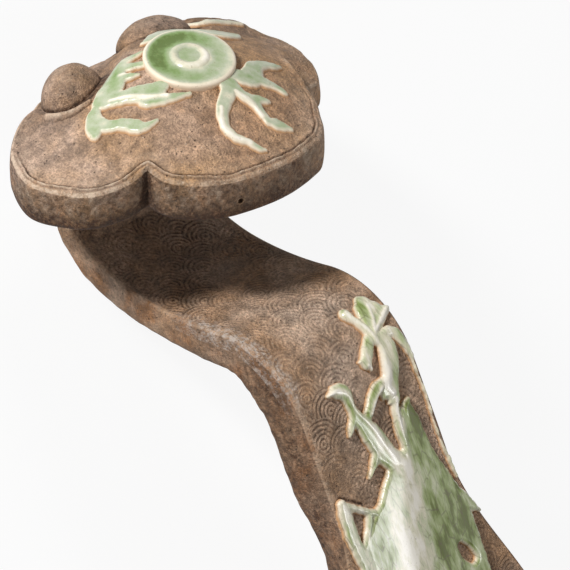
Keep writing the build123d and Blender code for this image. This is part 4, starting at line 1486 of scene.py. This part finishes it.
LOOP = [
    [(85, -11, 1.2), (82.1, -14.6, 1.1), (79.5, -17.9, 1.2), (77.8, -20.2, 1.4)],
    [(77.8, -20.2, 1.5), (79.5, -20.1, 2), (82, -20.1, 2.2), (85.5, -20.2, 2.2)]
    + [(89.3, -20, 2.2), (93, -19, 2.6)],
    [(93, -19, 2.6), (97, -17, 4)],
    [(84.1, -12.9, 1.3), (86.8, -14.4, 1.3), (89.6, -16.4, 1.4), (92.4, -18, 1.8)],
]
WHISKER = [
    [(45.8, 12.1, 1), (46.3, 14.2, 1.6), (47.6, 15.8, 1.6), (49.4, 16.5, 1.5)]
    + [(52, 17, 1.2), (54.6, 17.4, 0.9)],
    [(54.6, 17.4, 0.8), (58.4, 17.2, 0.45), (64.6, 17.7, 0.5), (73.2, 17.3, 0.4)]
    + [(79.3, 17.4, 0.5), (84, 18, 0.7)],
    [(84, 18, 0.8), (89.3, 18.6, 0.5)],
]
TAIL = [
    [(110, 3, 13.5), (125, 2, 14), (138, -2, 11), (150, -3, 8.5), (162, 1, 6.5)],
    [(162, 1, 6.5), (174, 5, 4.5), (184, 3, 2.5), (192, -3, 1)],
]
SLIT = [
    [(61.4, 4.2, 0.6), (62.4, 3.4, 1.1), (64, 2.5, 1.3), (67, 1.9, 1.35)]
    + [(70, 2.6, 1.2), (72.4, 3.2, 0.9), (73.8, 3.6, 0.4)],
]
EYE = [[(106, 12.2, 0.8), (108.6, 13.4, 1.5), (111, 14.8, 1.1)]]
print("strokes:", sum(len(lines) for lines in (CREST, HOOK, BODY, LOOP, WHISKER, TAIL)))

# %% [markdown]
# Broad and narrow ridges shape the growth. The glaze thins to white on them; set along the white
# highlights, this white is partly a painted highlight, most of all on the broad ridge of the body.
# Green pools lie along the growth's right side and between the ridges. A slit and an eye-shaped pit
# go through to the clay.

# %% Sprigs on the shaft
RELIEF_HEIGHT = 2.1
RELIEF_EDGE = 1.4

branches = [
    ("crest_leaf", "crest", 0.42, 1.0, CREST),
    ("whisker_line", "whisker", 0.3, 1.0, WHISKER),
    ("hook_stem", "hook_branch", 0.6, 1.0, HOOK),
    ("body_trunk", "body", 0.7, 1.0, BODY),
    ("loop_curl", "loop", 0.28, 1.0, LOOP),
    ("tail_sweep", "tail", 0.74, 1.0, TAIL),
]
# The first, broad ridge lies where the fill lamp mirrors in the body: its white is partly a painted
# reflection.
branch_ridges = [
    [(78, 2.4, 3.4), (84, -0.4, 6.4), (90, -2.4, 8), (96, -3.8, 8)]
    + [(108, -5.4, 6.5), (125, -6, 4.5), (145, -6, 3)],
    [(51.6, -12.4, 0.5), (51.8, -9.6, 0.8), (53.6, -7.2, 0.9), (56.4, -6.6, 0.9)]
    + [(59.4, -5.8, 0.9), (62.4, -4.2, 1)],
    [(62.4, -4.2, 1), (66, -2.6, 1.1), (70, -1.4, 1.2), (75, 0.6, 1.7), (80, 2, 2.8)],
    [(38, 6.4, 0.8), (43, 8.5, 0.7), (46.5, 8.8, 0.8), (50.4, 8.4, 1)]
    + [(54, 8.2, 1.1), (57.5, 6.2, 1.2), (60, 7, 1)],
    [(61.8, 7.3, 0.8), (65.4, 6.1, 0.9), (69.9, 5.6, 1.1), (74.6, 4.8, 1.4), (80, 3.2, 2.6)],
    [(45, 9.6, 0.5), (42.4, 11.5, 0.5), (39, 13.2, 0.4)],
    [(44.4, 10.8, 0.5), (43, 14, 0.6), (41.6, 17.4, 0.6)],
    [(57, 4.2, 0.7), (59.4, 0.6, 0.7), (61.5, -1.9, 0.7)],
    [(50.6, 2.8, 0.4), (52, 3.4, 0.4)],
]
branch_hollows = [
    [(42.2, 14, 0.8), (40.4, 15.4, 1)],
    [(50, 12.2, 0.9), (54, 11.6, 1.1), (58, 9.8, 1.2)],
    [(66, 11, 1), (72, 11, 1.8), (80, 12, 2.8), (90, 14, 3.2), (98, 16, 2.6)],
]
glaze_lines = {"holes": SLIT + EYE, "ridges": branch_ridges, "hollows": branch_hollows}
relief_group(on_shaft, branches, RELIEF_HEIGHT, RELIEF_EDGE, shaft_glaze, "celadon", **glaze_lines)
